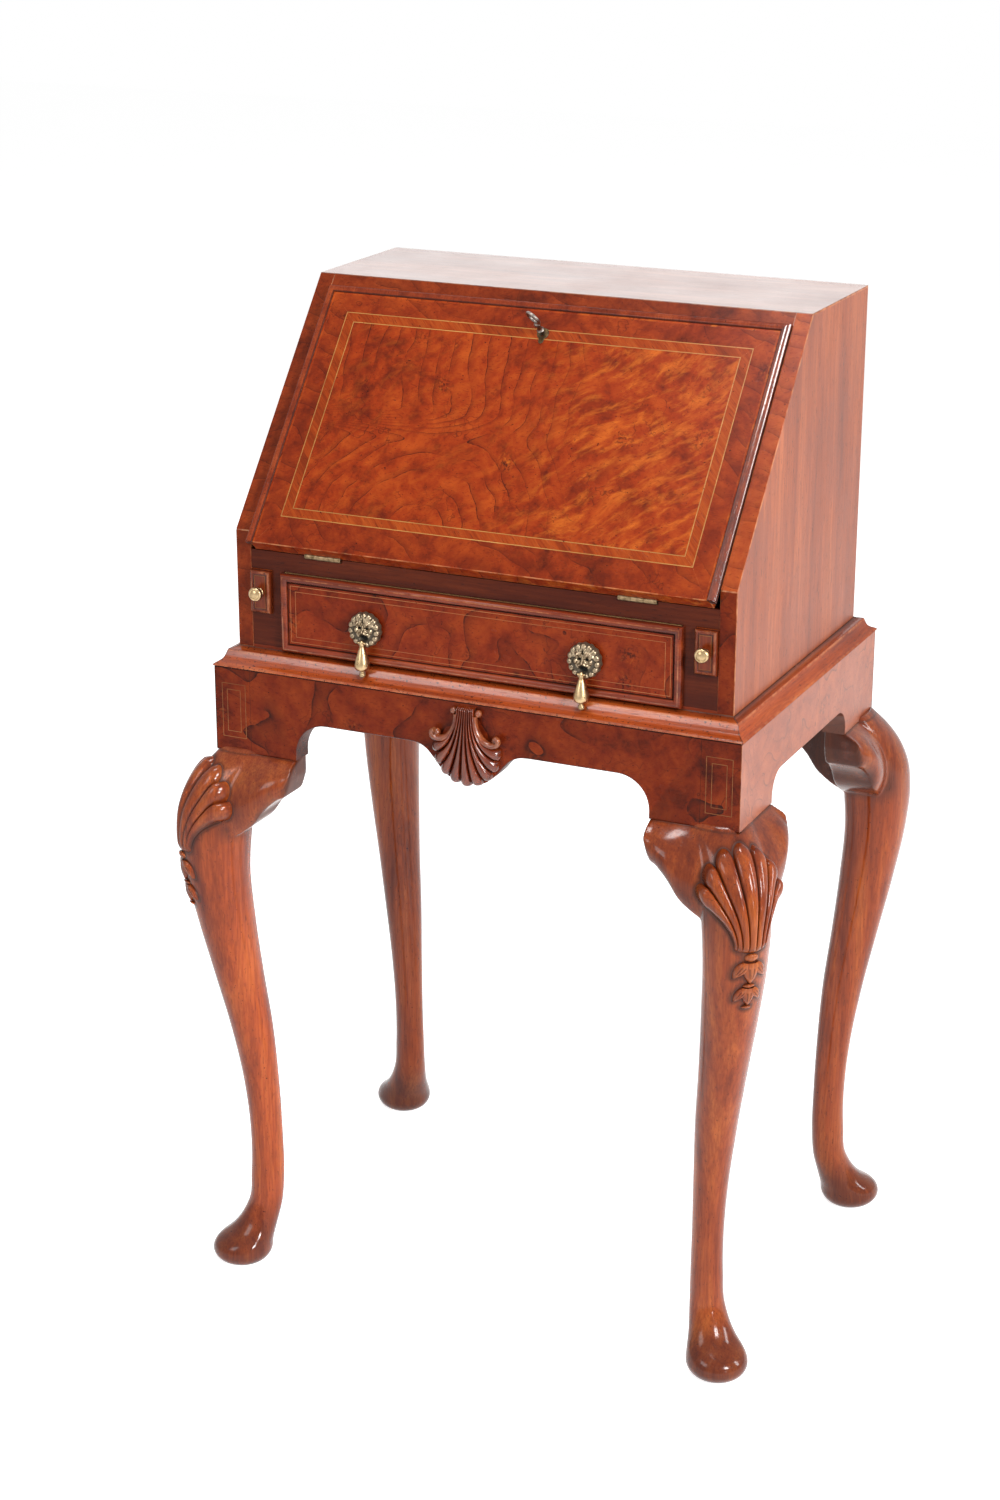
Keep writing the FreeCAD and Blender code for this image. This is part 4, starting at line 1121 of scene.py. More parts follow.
@dataclass
class CabrioleLeg:
    """One cabriole leg with its knee brackets, carved as one form."""

    half_width: float = 0.2724
    half_depth: float = 0.1925
    height: float = 0.5634
    frieze_top: float = 0.6491
    post: float = 0.045
    post_tuck: float = 0.006
    post_root: float = 0.01
    post_gap: float = 0.001
    reach: float = 0.043
    width: float = 0.066
    ring_count: int = 150
    ring_points: int = 64
    bracket_drop: float = 0.086
    bracket_tip: float = 0.016
    bracket_bulge: float = 0.026
    bracket_lip: float = 0.8
    bracket_thick: float = 0.022
    bracket_inset: float = 0.017
    bracket_root: float = 0.012
    bracket_start: float = -0.14
    bracket_rings: int = 40
    bracket_points: int = 18
    front_tip: float = 0.184
    side_tip: float = 0.107
    grain_size: float = 0.0017
    sanding: float = 0.5
    sanding_rounds: int = 9
    # Strength of the painted shade at the leg's top under the frieze, at the floor and on inward faces.
    grime_and_shade: float = 0.8
    seam_high: float = 0.0022
    floor_high: float = 0.005
    foot_darkening: float = 0.52
    foot_high: float = 0.034
    inward_shade_turn: Flat = (1.4, 0.2)
    inward_shade_from: Flat = (0.47, 0.02)
    knee_shade: float = 0.3
    knee_from: Flat = (0.45, 0.06)
    rows: tuple = (
        (0.0, 0.38, -0.68, 0.68, 2.0), (0.006, 0.48, -0.78, 0.8, 2.0),
        (0.018, 0.57, -0.87, 0.91, 2.0), (0.036, 0.51, -0.9, 0.88, 2.0),
        (0.06, 0.1, -0.99, 0.71, 2.0), (0.106, -0.32, -1.16, 0.54, 2.0),
        (0.167, -0.42, -1.23, 0.485, 2.0), (0.241, -0.44, -1.22, 0.47, 2.0),
        (0.351, -0.32, -1.16, 0.52, 2.0), (0.463, -0.05, -1.05, 0.62, 1.95),
        (0.573, 0.3, -0.86, 0.71, 1.9), (0.682, 0.65, -0.7, 0.83, 1.85),
        (0.786, 0.93, -0.62, 0.94, 1.75), (0.854, 1.0, -0.7, 1.0, 1.7),
        (0.905, 0.9, -0.79, 1.0, 1.65), (0.95, 0.61, -0.97, 0.98, 1.55),
        (0.98, 0.29, -1.14, 0.94, 1.45), (1.0, 0.02, -1.3, 0.88, 1.35),
        (1.008, -0.09, -1.3, 0.79, 1.35),
    )
    stations: tuple = (
        (0.0, 0.0, 0.58), (0.06, 0.2, 0.66), (0.2, 0.31, 0.82), (0.4, 0.51, 0.97),
        (0.5, 0.66, 1.0), (0.73, 0.86, 1.0), (1.0, 1.0, 0.92),
    )

    def shaft(self, shift: float, rake: float) -> list[list[Vector]]:
        """Give the rings of the leg at the right back corner.

        Args:
            shift: how far the leg stands out.
            rake: how far its foot runs to the back.

        Returns:
            Rings of points from foot to knee.
        """
        table = np.asarray(self.rows)
        rings = []
        for level in eased(table[:, 0], table, np.linspace(0.0, self.rows[-1][0], self.ring_count)):
            share, outer, inner, wide, roundness = level
            middle, half_long = (outer + inner) / 2 * self.reach, (outer - inner) / 2 * self.reach
            lean = rake * (1.0 - share) ** 2
            power = 2.0 / roundness
            ring = []
            for angle in np.linspace(0.0, FULL_TURN, self.ring_points, endpoint=False):
                far = middle + half_long * copysign(abs(cos(angle)) ** power, cos(angle))
                aside = wide / 2 * self.width * copysign(abs(sin(angle)) ** power, sin(angle))
                x = self.half_width + shift + (far - aside) * sqrt(0.5)
                y = self.half_depth + lean + (far + aside) * sqrt(0.5)
                ring.append(Vector((x, y, share * self.height)))
            rings.append(ring)
        return rings

    def bracket(self, tip: float, half_run: float, face: float, place: Place) -> list[list[Vector]]:
        """Give the rings of one knee bracket.

        Args:
            tip: where its nose starts.
            half_run: half length of the stand along the bracket.
            face: distance of the frieze face from the middle.
            place: puts run, depth and height in space.

        Returns:
            Rings of points from nose to leg.
        """
        table = np.asarray(self.stations)
        length = half_run - self.bracket_inset - tip
        deep = face - self.bracket_thick
        rings = []
        for along, drop, full in eased(table[:, 0], table, np.linspace(0.0, 1.0, self.bracket_rings)):
            foot = self.height - self.bracket_tip - (self.bracket_drop - self.bracket_tip) * drop
            ring = [(deep, self.height + self.bracket_root)]
            for share in np.linspace(self.bracket_start, 1.0, self.bracket_points):
                swell = 4.0 * share * (1.0 - share) + self.bracket_lip * share * (2.0 * share - 1.0)
                depth = face + self.bracket_bulge * full * swell
                ring.append((depth, self.height + (foot - self.height) * share))
            ring.append((deep, foot))
            rings.append([place(tip + length * along, depth, up) for depth, up in ring])
        return rings

    def carved(self, shift: float, rake: float) -> Mesh:
        """Carve leg, brackets and post into one smooth mesh at the right back corner.

        Args:
            shift: how far the leg stands out.
            rake: how far its foot runs to the back.

        Returns:
            The mesh.
        """
        wide, deep = self.half_width, self.half_depth
        skin = Surface().tube(self.shaft(shift, rake))
        skin.tube(self.bracket(self.front_tip, wide, deep, lambda a, b, c: Vector((a, b, c))))
        skin.tube(self.bracket(self.side_tip, deep, wide, lambda a, b, c: Vector((b, a, c))))
        far, near = ([half - inset for half in (wide, deep)] for inset in (self.post_tuck, self.post))
        plan = [near, (far[0], near[1]), far, (near[0], far[1])]
        ends = (self.height - self.post_root, self.frieze_top - self.post_gap)
        skin.tube([[Vector((x, y, z)) for x, y in plan] for z in ends])
        block = show("leg block", skin.mesh())
        carve = block.modifiers.new("carve", "REMESH")
        carve.mode = "VOXEL"
        carve.voxel_size = self.grain_size
        sand = block.modifiers.new("sand", "SMOOTH")
        sand.factor = self.sanding
        sand.iterations = self.sanding_rounds
        bpy.context.view_layer.update()
        mesh = bpy.data.meshes.new_from_object(block.evaluated_get(bpy.context.evaluated_depsgraph_get()))
        bpy.data.objects.remove(block)
        return mesh

    def stain_and_shade(self, mesh: Mesh) -> np.ndarray:
        """Give each leg point painted shade under the frieze, at the floor, on knee and inner faces, and a
        darker foot.

        Args:
            mesh: the leg's mesh.

        Returns:
            The recess of each point.
        """
        points, normals = np.empty((2, len(mesh.vertices) * 3))
        mesh.vertices.foreach_get("co", points)
        mesh.vertex_normals.foreach_get("vector", normals)
        points, normals = points.reshape(-1, 3), normals.reshape(-1, 3)
        up = points[:, 2]
        # Painted shade: a line at the leg's top under the frieze, partly a dark joint, a band at the floor,
        # the inward faces near the knee and the upper leg; the foot is only made darker toward the floor.
        seam = limited(1.0 - np.abs(up - self.height) / self.seam_high)
        floor = limited(1.0 - up / self.floor_high)
        foot = self.foot_darkening * limited(2.0 - up / self.foot_high)
        inward = (-np.sign(points[:, :2]) * normals[:, :2]).max(axis=1)
        inward_shade = limited(inward * self.inward_shade_turn[0] - self.inward_shade_turn[1])
        inward_shade *= limited((up - self.inward_shade_from[0]) / self.inward_shade_from[1])
        knee = self.knee_shade * limited((up - self.knee_from[0]) / self.knee_from[1])
        return np.maximum.reduce([self.grime_and_shade * seam, self.grime_and_shade * floor, self.grime_and_shade * inward_shade, foot, knee])


@dataclass
class KneeFace:
    """The face of a front knee, on which carvings are laid."""

    surface: BVHTree
    corner: Flat
    axis: Flat = (0.2689, 0.1925)
    set_back: float = 0.032
    reach: float = 0.2
    missed: float = 0.03
    wrap: float = 0.047
    flatten: float = 0.34
    flat_from: float = 0.03
    flat_aside: float = 0.94
    tilt: float = 0.7

    def point(self, aside: float, height: float, lift: float) -> Vector:
        """Find the point of the knee at a place beside its ridge.

        Args:
            aside: distance from the ridge, along the knee.
            height: height over the floor.
            lift: distance out from the surface.

        Returns:
            The point.
        """
        ridge = Vector((*self.corner, 0.0)).normalized()
        cross = Vector((0.0, 0.0, 1.0)).cross(ridge)
        middle = Vector((self.axis[0] * self.corner[0], self.axis[1] * self.corner[1], height))
        middle -= ridge * self.set_back
        turn = aside / self.wrap
        way = ridge * cos(turn) + cross * sin(turn)
        hit = self.surface.ray_cast(middle + way * self.reach, -way)[0]
        spot = hit if hit is not None else middle + way * self.missed
        if lift < 0.0:
            return spot + way * lift
        front = self.surface.ray_cast(middle + ridge * self.reach, -ridge)[0]
        plane = (front if front is not None else middle) + cross * aside * self.flat_aside
        share = self.flatten * min(1.0, abs(aside) / self.flat_from)
        return spot.lerp(plane, share) + (way + ridge + Vector((0.0, 0.0, self.tilt))).normalized() * lift


def lobed(step: int, across: int, lobes: int) -> Flat:
    """Give the place across a fan of lobes, from -1 to 1, and how far its lobe arches there, from 0 to 1.

    Args:
        step: number of the ray.
        across: how many rays there are.
        lobes: how many lobes there are.

    Returns:
        Place and arch.
    """
    place = step / (across - 1) * lobes
    share = place - min(int(place), lobes - 1)
    return 2.0 * place / lobes - 1.0, bulge(2.0 * share - 1.0)


@dataclass
class KneeShell:
    """The shell and husks that are carved on a front knee."""

    base_height: float = 0.4625
    lobes: int = 7
    lobe_steps: int = 14
    ray_steps: int = 44
    root_half: float = 0.0105
    root_turn: float = 1.45
    root_rise: float = 0.004
    waist_half: float = 1.2
    waist: Flat = (0.046, 0.012)
    half_spread: float = 0.0418
    shoulder: float = 0.05
    crown: float = 0.0445
    fan_turn: float = 104.0
    relief: float = 0.0066
    rim_low: float = 0.88
    root_low: float = 0.55
    groove_low: float = 0.22
    end_low: float = 0.2
    end_from: Flat = (0.84, 0.16)
    start: Flat = (0.35, 9.0)
    edge_lift: float = -0.0005
    sunk: float = -0.002
    groove_shade: Triple = (1.25, 1.9, 0.25)
    groove_shade_run: Flat = (0.05, 0.97)
    worn_and_lit: Flat = (0.5, 0.8)
    husks: tuple = ((0.452, 1.0), (0.4255, 0.86))
    petals: tuple = (
        (-1.0, 0.0108, 0.0158, 0.0042), (1.0, 0.0108, 0.0158, 0.0042), (0.0, 0.0, 0.021, 0.0048),
    )
    petal_root: float = 0.0026
    petal_relief: float = 0.0046
    petal_sunk: float = -0.0015
    petal_edge: Flat = (0.99, 0.0002)
    petal_least: float = 0.03
    petal_shape: Triple = (0.12, 0.75, 0.8)
    petal_low: Flat = (0.38, 0.6)
    petal_worn_and_lit: float = 0.3
    petal_steps: tuple = (21, 15)
    vein_place: float = 0.28
    vein_sharp: float = 9.0
    vein_deep: float = 0.16
    vein_shade: float = 0.95
    vein_run: Flat = (0.25, 0.8)
    top_ball: Triple = (0.0045, 0.0044, 0.0042)
    husk_ball: Triple = (0.0235, 0.0042, 0.0021)
    ball_relief: float = 0.0038
    ball_tone: float = -0.3
    ground_heights: Flat = (0.385, 0.11)
    ground_reach: float = 0.008
    ground_shade: Flat = (0.95, 0.0055)

    def ray(self, share: float, run: float) -> Flat:
        """Give the place of a point on one ray of the fan.

        Args:
            share: place across the fan, from -1 to 1.
            run: place up the ray, from root to rim.

        Returns:
            Its distance from the ridge and its height.
        """
        turn, lean = radians(self.fan_turn) * share, share * self.root_turn
        root = (self.root_half * sin(lean), self.root_rise * (1.0 - cos(lean)))
        waist = (self.root_half * self.waist_half * share, self.waist[0] - self.waist[1] * abs(share))
        rim = (self.half_spread * sin(turn), self.shoulder + self.crown * cos(turn))
        aside, rise = bent(root, waist, rim, run)
        return aside, self.base_height + rise

    def shell(self, knee: KneeFace) -> Surface:
        """Carve the shell: convex lobes that rise from its root and fan out.

        Args:
            knee: the face under it.

        Returns:
            The shell.
        """
        across, last = self.lobe_steps * self.lobes + 1, self.ray_steps - 1
        cells = []
        for step, index in product(range(across), range(self.ray_steps)):
            share, arch = lobed(step, across, self.lobes)
            run = index / last
            aside, height = self.ray(share, run * grown(self.rim_low, arch))
            end = bulge(max(0.0, (run - self.end_from[0]) / self.end_from[1]))
            lift = self.relief * grown(self.root_low, run) * grown(self.groove_low, arch)
            lift *= grown(self.end_low, end) * min(1.0, self.start[0] + run * self.start[1])
            if index in (0, last) or step in (0, across - 1):
                lift = self.edge_lift
            # Painted shade in the grooves between lobes, strongest at the root and at the rim; the crests
            # grow lighter toward the rim, as wear and painted highlight.
            deepest, fall, rim = self.groove_shade
            inside = self.groove_shade_run[0] < run < self.groove_shade_run[1]
            dark = max(0.0, deepest - fall * arch) if inside else rim
            tone = dark - self.worn_and_lit[0] * max(0.0, arch - self.worn_and_lit[1]) * run
            cells.append((knee.point(aside, height, lift), knee.point(aside, height, self.sunk), tone))
        return carving(cells, self.ray_steps)

    def leaf(self, knee: KneeFace, root: Flat, tip: Flat, wide: float) -> Surface:
        """Carve one pointed leaf with a vein.

        Args:
            knee: the face under it.
            root: where the leaf starts, beside the ridge and in height.
            tip: where it ends.
            wide: its half width.

        Returns:
            The leaf.
        """
        way = Vector((tip[0] - root[0], tip[1] - root[1]))
        side = Vector((-way.y, way.x)).normalized()
        along, across = self.petal_steps
        cells = []
        for run, share in product(np.linspace(0.0, 1.0, along), np.linspace(-1.0, 1.0, across)):
            root_low, fuller, blunt = self.petal_shape
            half = sin(pi * grown(root_low, run) ** fuller) ** blunt
            half = wide * max(self.petal_least, half)
            aside = root[0] + way.x * run + side.x * half * share
            height = root[1] + way.y * run + side.y * half * share
            veined = self.vein_run[0] < run < self.vein_run[1]
            vein = max(0.0, 1.0 - abs(abs(share) - self.vein_place) * self.vein_sharp) if veined else 0.0
            swell = grown(self.petal_low[0], bulge(share)) - self.vein_deep * vein
            lift = self.petal_relief * swell * grown(self.petal_low[1], sin(pi * run))
            lift = lift if abs(share) < self.petal_edge[0] else self.petal_edge[1]
            # Painted shade in the vein; the petal's middle is lighter, as wear and painted highlight.
            tone = self.vein_shade * vein - self.petal_worn_and_lit * (1.0 - abs(share))
            cells.append((knee.point(aside, height, lift), knee.point(aside, height, self.petal_sunk), tone))
        return carving(cells, across)

    def ball(self, knee: KneeFace, top: float, size: Triple, scale: float) -> Surface:
        """Carve a small boss on the ridge.

        Args:
            knee: the face under it.
            top: the height that its middle is measured down from.
            size: how far down its middle lies, its half width and its half height.
            scale: what the size is multiplied by.

        Returns:
            The boss.
        """
        drop, half_wide, half_high = (value * scale for value in size)
        rings, turns = np.linspace(0.03, 1.0, 9), np.linspace(0.0, FULL_TURN, 29)
        cells = []
        for ring, angle in product(rings, turns):
            aside = half_wide * ring * sin(angle)
            height = top - drop + half_high * ring * cos(angle)
            over = knee.point(aside, height, self.ball_relief * bulge(ring))
            cells.append((over, knee.point(aside, height, self.petal_sunk), self.ball_tone))
        return carving(cells, len(turns))

    def ground(self, leg: Mesh, skin: Surface) -> None:
        """Darken the leg about the carving with painted shade.

        Args:
            leg: the leg's mesh.
            skin: the carving.
        """
        near = BVHTree.FromPolygons([Vector(point) for point in skin.points], skin.faces)
        recess = leg.attributes["recess"].data
        low, over = self.ground_heights
        most, fade = self.ground_shade
        for vertex in leg.vertices:
            if low < vertex.co.z < self.base_height + over:
                gap = near.find_nearest(vertex.co, self.ground_reach)[3]
                if gap is not None:
                    value = max(recess[vertex.index].value, most - gap / fade)
                    recess[vertex.index].value = min(1.0, value)

    def build(self, name: str, leg: Mesh, corner: Flat) -> None:
        """Carve shell and husks on one front leg and paint shade on the ground about them.

        Args:
            name: name of the side.
            leg: the leg's mesh.
            corner: signs of the leg's x and y.
        """
        points = [vertex.co.copy() for vertex in leg.vertices]
        polygons = [tuple(face.vertices) for face in leg.polygons]
        knee = KneeFace(BVHTree.FromPolygons(points, polygons), corner)
        skin = self.shell(knee)
        skin.join(self.ball(knee, self.base_height, self.top_ball, 1.0))
        for height, size in self.husks:
            for sign, aside, drop, wide in self.petals:
                root = (sign * self.petal_root * size, height)
                tip = (sign * aside * size, height - drop * size)
                skin.join(self.leaf(knee, root, tip, wide * size))
            skin.join(self.ball(knee, height, self.husk_ball, size))
        Piece("knee_shell_" + name, Body.FRAME, Slot.SOLID, CARVED_WALNUT, (), 70.0).place(skin)
        self.ground(leg, skin)


@dataclass
class ApronShell:
    """The carved shell under the middle of the front frieze."""

    face: float = -0.1925
    sunk: float = 0.002
    neck_height: float = 0.6462
    neck_half: float = 0.0088
    waist_half: float = 0.0105
    waist: Flat = (0.003, 0.01)
    heart: float = 0.6045
    half_width: float = 0.0362
    drop: float = 0.0378
    fan_turn: float = 98.0
    flutes: int = 9
    flute_steps: int = 14
    ray_steps: int = 44
    relief: float = 0.0105
    rim_low: float = 0.91
    dome_low: float = 0.45
    dome_run: Flat = (0.1, 0.72)
    groove_low: float = 0.42
    end_low: float = 0.18
    end_from: Flat = (0.82, 0.18)
    edge_share: float = 0.3
    groove_shade: Triple = (1.25, 2.1, 0.3)
    groove_shade_end: float = 0.97
    worn_and_lit: Flat = (0.4, 0.85)
    curl: tuple = (
        (0.0098, 0.6385), (0.0102, 0.631), (0.0125, 0.6235), (0.017, 0.617), (0.023, 0.6135),
        (0.029, 0.6128), (0.0335, 0.615), (0.034, 0.619), (0.0312, 0.6208),
    )
    curl_points: int = 64
    curl_ring: int = 18
    curl_thick: Flat = (0.0019, 0.0012)
    curl_deep: Flat = (-0.0045, -0.0022)
    curl_most: float = 0.0015
    curl_tone: float = -0.35
    buds: tuple = (("bud_", 0.0128, 0.6412, 0.0036), ("curl_ball_", 0.0306, 0.6172, 0.004))
    bud_out: float = 0.0032
    bud_points: int = 15
    bud_tone: float = -0.3

    def ray(self, share: float, run: float) -> Flat:
        """Give the place of a point on one ray of the fan.

        Args:
            share: place across the fan, from -1 to 1.
            run: place down the ray, from neck to rim.

        Returns:
            Its x and height.
        """
        turn = share * radians(self.fan_turn)
        neck = (self.neck_half * share, self.neck_height)
        waist = (self.waist_half * share, self.heart + self.waist[0] - self.waist[1] * (1.0 - abs(share)))
        rim = (self.half_width * sin(turn), self.heart - self.drop * cos(turn))
        return bent(neck, waist, rim, run)

    def fan(self) -> Surface:
        """Carve the flutes.

        Returns:
            The fan.
        """
        across, last = self.flute_steps * self.flutes + 1, self.ray_steps - 1
        cells = []
        for step, index in product(range(across), range(self.ray_steps)):
            share, arch = lobed(step, across, self.flutes)
            run = index / last
            x, z = self.ray(share, run * grown(self.rim_low, arch))
            dome = sin(pi * min(1.0, self.dome_run[0] + self.dome_run[1] * run))
            end = bulge(max(0.0, (run - self.end_from[0]) / self.end_from[1]))
            lift = self.relief * grown(self.dome_low, dome)
            lift *= grown(self.groove_low, arch) * grown(self.end_low, end)
            if index in (0, last) or step in (0, across - 1):
                lift *= self.edge_share
            # Painted shade in the grooves between flutes; the flute crests are lighter, as wear and painted
            # highlight.
            deepest, fall, rim = self.groove_shade
            dark = max(0.0, deepest - fall * arch) if run < self.groove_shade_end else rim
            tone = dark - self.worn_and_lit[0] * max(0.0, arch - self.worn_and_lit[1])
            cells.append((Vector((x, self.face - lift, z)), Vector((x, self.face + self.sunk, z)), tone))
        return carving(cells, self.ray_steps)

    def scroll(self, side: float) -> Surface:
        """Carve the rolled edge of the shell on one side, which curls up at its end.

        Args:
            side: sign of the side's x.

        Returns:
            The scroll.
        """
        line = smooth_line(self.curl, self.curl_points)
        last = len(line) - 1
        rows = []
        for index, (x, z) in enumerate(line):
            before, after = line[max(0, index - 1)], line[min(last, index + 1)]
            way = Vector((after[0] - before[0], after[1] - before[1])).normalized()
            run = index / last
            thick = self.curl_thick[0] + self.curl_thick[1] * sin(pi * min(1.0, 0.1 + run * 0.8))
            ring = []
            for angle in np.linspace(0.0, FULL_TURN, self.curl_ring, endpoint=False):
                far = cos(angle) * thick
                deep = self.curl_deep[0] + self.curl_deep[1] * run - sin(angle) * thick * 1.4
                y = self.face + min(self.curl_most, deep)
                ring.append(Vector((side * (x - way.y * far), y, z + way.x * far)))
            rows.append(ring)
        return Surface().tube(rows, [[self.curl_tone] * self.curl_ring] * len(rows))

    def bud(self, x: float, z: float, radius: float) -> Surface:
        """Carve one round bud.

        Args:
            x: x of its middle.
            z: height of its middle.
            radius: its radius.

        Returns:
            The bud.
        """
        turns = np.linspace(0.0, pi, self.bud_points)
        profile = [(radius * sin(turn), -radius * cos(turn)) for turn in turns]
        base = Vector((x, self.face - self.bud_out, z))
        return lathe(profile, base, FORWARD, [self.bud_tone] * len(profile))

    def build(self) -> None:
        """Carve the whole shell."""
        parts = [("fan", self.fan())]
        for side, word in SIDES:
            parts.append(("scroll_" + word, self.scroll(side)))
            for name, x, z, radius in self.buds:
                parts.append((name + word, self.bud(side * x, z, radius)))
        for word, skin in parts:
            Piece("apron_" + word, Body.FRAME, Slot.SOLID, APRON_WALNUT, ("apron_shell",), 70.0).place(skin)


# Stand

@dataclass
class Stand:
    """The stand: legs, friezes, moulding and its carved ornament."""

    half_width: float = 0.2724
    half_depth: float = 0.1925
    foot: float = 0.5634
    top: float = 0.6491
    thick: float = 0.024
    soft: float = 0.0008
    post_joint: float = 0.2335
    slit: float = 0.0004
    end_strip: float = 0.001
    end_reach: float = 1e-6
    end_wear: float = -0.8
    seam_dark_and_shadow: float = 0.9
    lower_edge_shade: float = 0.35
    underside_shade: float = 0.7
    front_span: float = 0.184
    front_rise: float = 0.0396
    side_span: float = 0.107
    side_rise: float = 0.0286
    corner_share: float = 0.82
    drop_half: float = 0.062
    drop_depth: float = 0.037
    drop_shares: tuple = (
        (0.0, 0.93), (0.28, 0.84), (0.46, 0.6), (0.57, 0.38), (0.7, 0.15), (0.84, 0.03), (1.0, 0.0),
    )
    legs: tuple = (("front", -1.0, -0.0035, 0.0), ("back", 1.0, 0.0035, 0.011))
    moulding_top: float = 0.6668
    moulding_in: Flat = (0.25605, 0.17155)
    moulding_out: Flat = (0.2739, 0.194)
    moulding_shares: tuple = (
        (0.0, 0.012), (0.975, 0.012), (1.0, 0.035), (0.97, 0.08), (0.88, 0.155), (0.8, 0.2), (0.72, 0.245),
        (0.66, 0.29), (0.6, 0.35), (0.55, 0.43), (0.51, 0.53), (0.47, 0.65), (0.425, 0.78), (0.4, 0.83),
        (0.3, 0.862), (0.12, 0.9), (0.0, 0.99),
    )
    # Tones along the profile: painted shade under the lip and where the moulding meets the case side, a
    # lighter lower lip that is wear and a painted highlight, and a painted highlight line on the upper edge.
    moulding_painted_light_and_wear: tuple = (0.5, -0.5, -0.4, -0.4, *[0.0] * 8, -0.7, 0.1, 0.25, 0.4, 0.95)
    moulding_steps: tuple = ((0.0, 0.7), (0.003, 0.0), (0.997, 0.0), (1.0, 0.7))
    string_sizes: tuple = ((0.01305, 0.578, 0.633), (0.0075, 0.584, 0.627))
    string_middle: float = 0.25155
    string_wide: float = 0.0006
    string_levels: Flat = (-0.0006, 0.00012)

    def arch(self, span: float, rise: float, drop: bool) -> list[Flat]:
        """Draw half of an arched lower edge, from its middle outward.

        Args:
            span: half width of the arch.
            rise: its height.
            drop: whether the middle hangs down for the shell.

        Returns:
            Points of along and height.
        """
        corner = self.corner_share * rise
        crown = self.foot + rise
        edge = [(0.0, crown)]
        if drop:
            corners = [(a * self.drop_half, crown - d * self.drop_depth) for a, d in self.drop_shares]
            edge = smooth_line(corners, 22)
        edge += arc((span - corner, crown - corner), corner, 90.0, 0.0, 12)
        return [*edge, (span, self.foot)]

    def frieze(self, half: float, edge: Sequence[Flat], face: float, place: Place) -> Surface:
        """Cut one frieze board with its arched edge and mitred ends.

        Args:
            half: half of its length.
            edge: half of its lower edge.
            face: distance of its face from the middle.
            place: puts along, depth and height in space.

        Returns:
            The board.
        """
        joint, slit, soft, top, back = self.post_joint, self.slit, self.soft, self.top, face - self.thick
        places = [half - self.end_strip, half]
        if joint < half:
            places = [joint - slit, joint, joint + slit, *places]
        half_line = [*edge, *((along, self.foot) for along in places)]
        shrink = (half - self.thick) / half
        columns, shades = [], []
        for along, low in [(-a, z) for a, z in reversed(half_line)] + half_line:
            at_end = abs(along) > half - self.end_reach
            inner = along * shrink if at_end else along
            seam = self.seam_dark_and_shadow if abs(abs(along) - joint) < slit / 2 else 0.0
            tone = seam + (self.end_wear if at_end else 0.0)
            columns.append([
                place(inner, back, top), place(along, face - soft, top),
                place(along, face, top - soft), place(along, face, top - soft * 2.0),
                place(along, face, low + soft * 2.0), place(along, face, low + soft),
                place(along, face - soft, low), place(inner, back, low),
            ])
            # The top rows under the moulding take painted shadow, the lower edge and its underside painted
            # shade; the joint line is a dark joint.
            tones = [self.seam_dark_and_shadow] * 3 + [tone, tone, self.lower_edge_shade + seam]
            shades.append(tones + [self.underside_shade] * 2)
        return Surface().tube(columns, shades)

    def friezes(self) -> None:
        """Make the four friezes."""
        front = self.arch(self.front_span, self.front_rise, True)
        side = self.arch(self.side_span, self.side_rise, False)
        plain = [(0.0, self.foot), (self.front_span, self.foot)]
        wide, deep = self.half_width, self.half_depth
        runs = (
            ("front", FRIEZE_VENEER, front, wide, deep, lambda a, b, c: Vector((a, -b, c))),
            ("left", FRIEZE_SIDE, side, deep, wide, lambda a, b, c: Vector((-b, a, c))),
            ("right", FRIEZE_SIDE, side, deep, wide, lambda a, b, c: Vector((b, a, c))),
            ("back", BACK_WALNUT, plain, wide, deep, lambda a, b, c: Vector((a, b, c))),
        )
        for word, finish, edge, half, face, place in runs:
            piece = Piece(word + "_frieze", Body.FRAME, Slot.VENEER, finish, (word + "_apron",), 50.0)
            piece.place(self.frieze(half, edge, face, place))

    def mouldings(self) -> None:
        """Run the moulding round the stand, mitred at its corners."""
        rise = self.moulding_top - self.top
        corners = []
        for x, y in ((-1, -1), (1, -1), (1, 1), (-1, 1)):
            ring = []
            for out, up in self.moulding_shares:
                far = [low + (high - low) * out for low, high in zip(self.moulding_in, self.moulding_out)]
                ring.append(Vector((x * far[0], y * far[1], self.top + rise * up)))
            corners.append(ring)
        runs = (("front", MOULDING_X), ("right", MOULDING_Y), ("back", MOULDING_X), ("left", MOULDING_Y))
        for index, (side, finish) in enumerate(runs):
            near, far = corners[index], corners[(index + 1) % len(corners)]
            rings, tones = [], []
            # Each run is darker toward its mitred ends.
            for share, grime_and_shade in self.moulding_steps:
                rings.append([a.lerp(b, share) for a, b in zip(near, far)])
                tones.append([min(1.0, tone + grime_and_shade) for tone in self.moulding_painted_light_and_wear])
            name = "moulding_" + side
            piece = Piece("stand_" + name, Body.FRAME, Slot.SOLID, finish, (name,), 42.0)
            piece.place(Surface().tube(rings, tones))

    def corner_strings(self) -> None:
        """Inlay the two small rectangles of stringing at each front corner."""
        for side, word in SIDES:
            place = on_face(side * self.string_middle, -self.half_depth)
            skin = Surface()
            for size in self.string_sizes:
                skin.join(stringing(size, -self.string_wide, 0.0, self.string_levels, place))
            Piece("corner_stringing_" + word, Body.FRAME, Slot.PALE, DIM_STRING).place(skin)

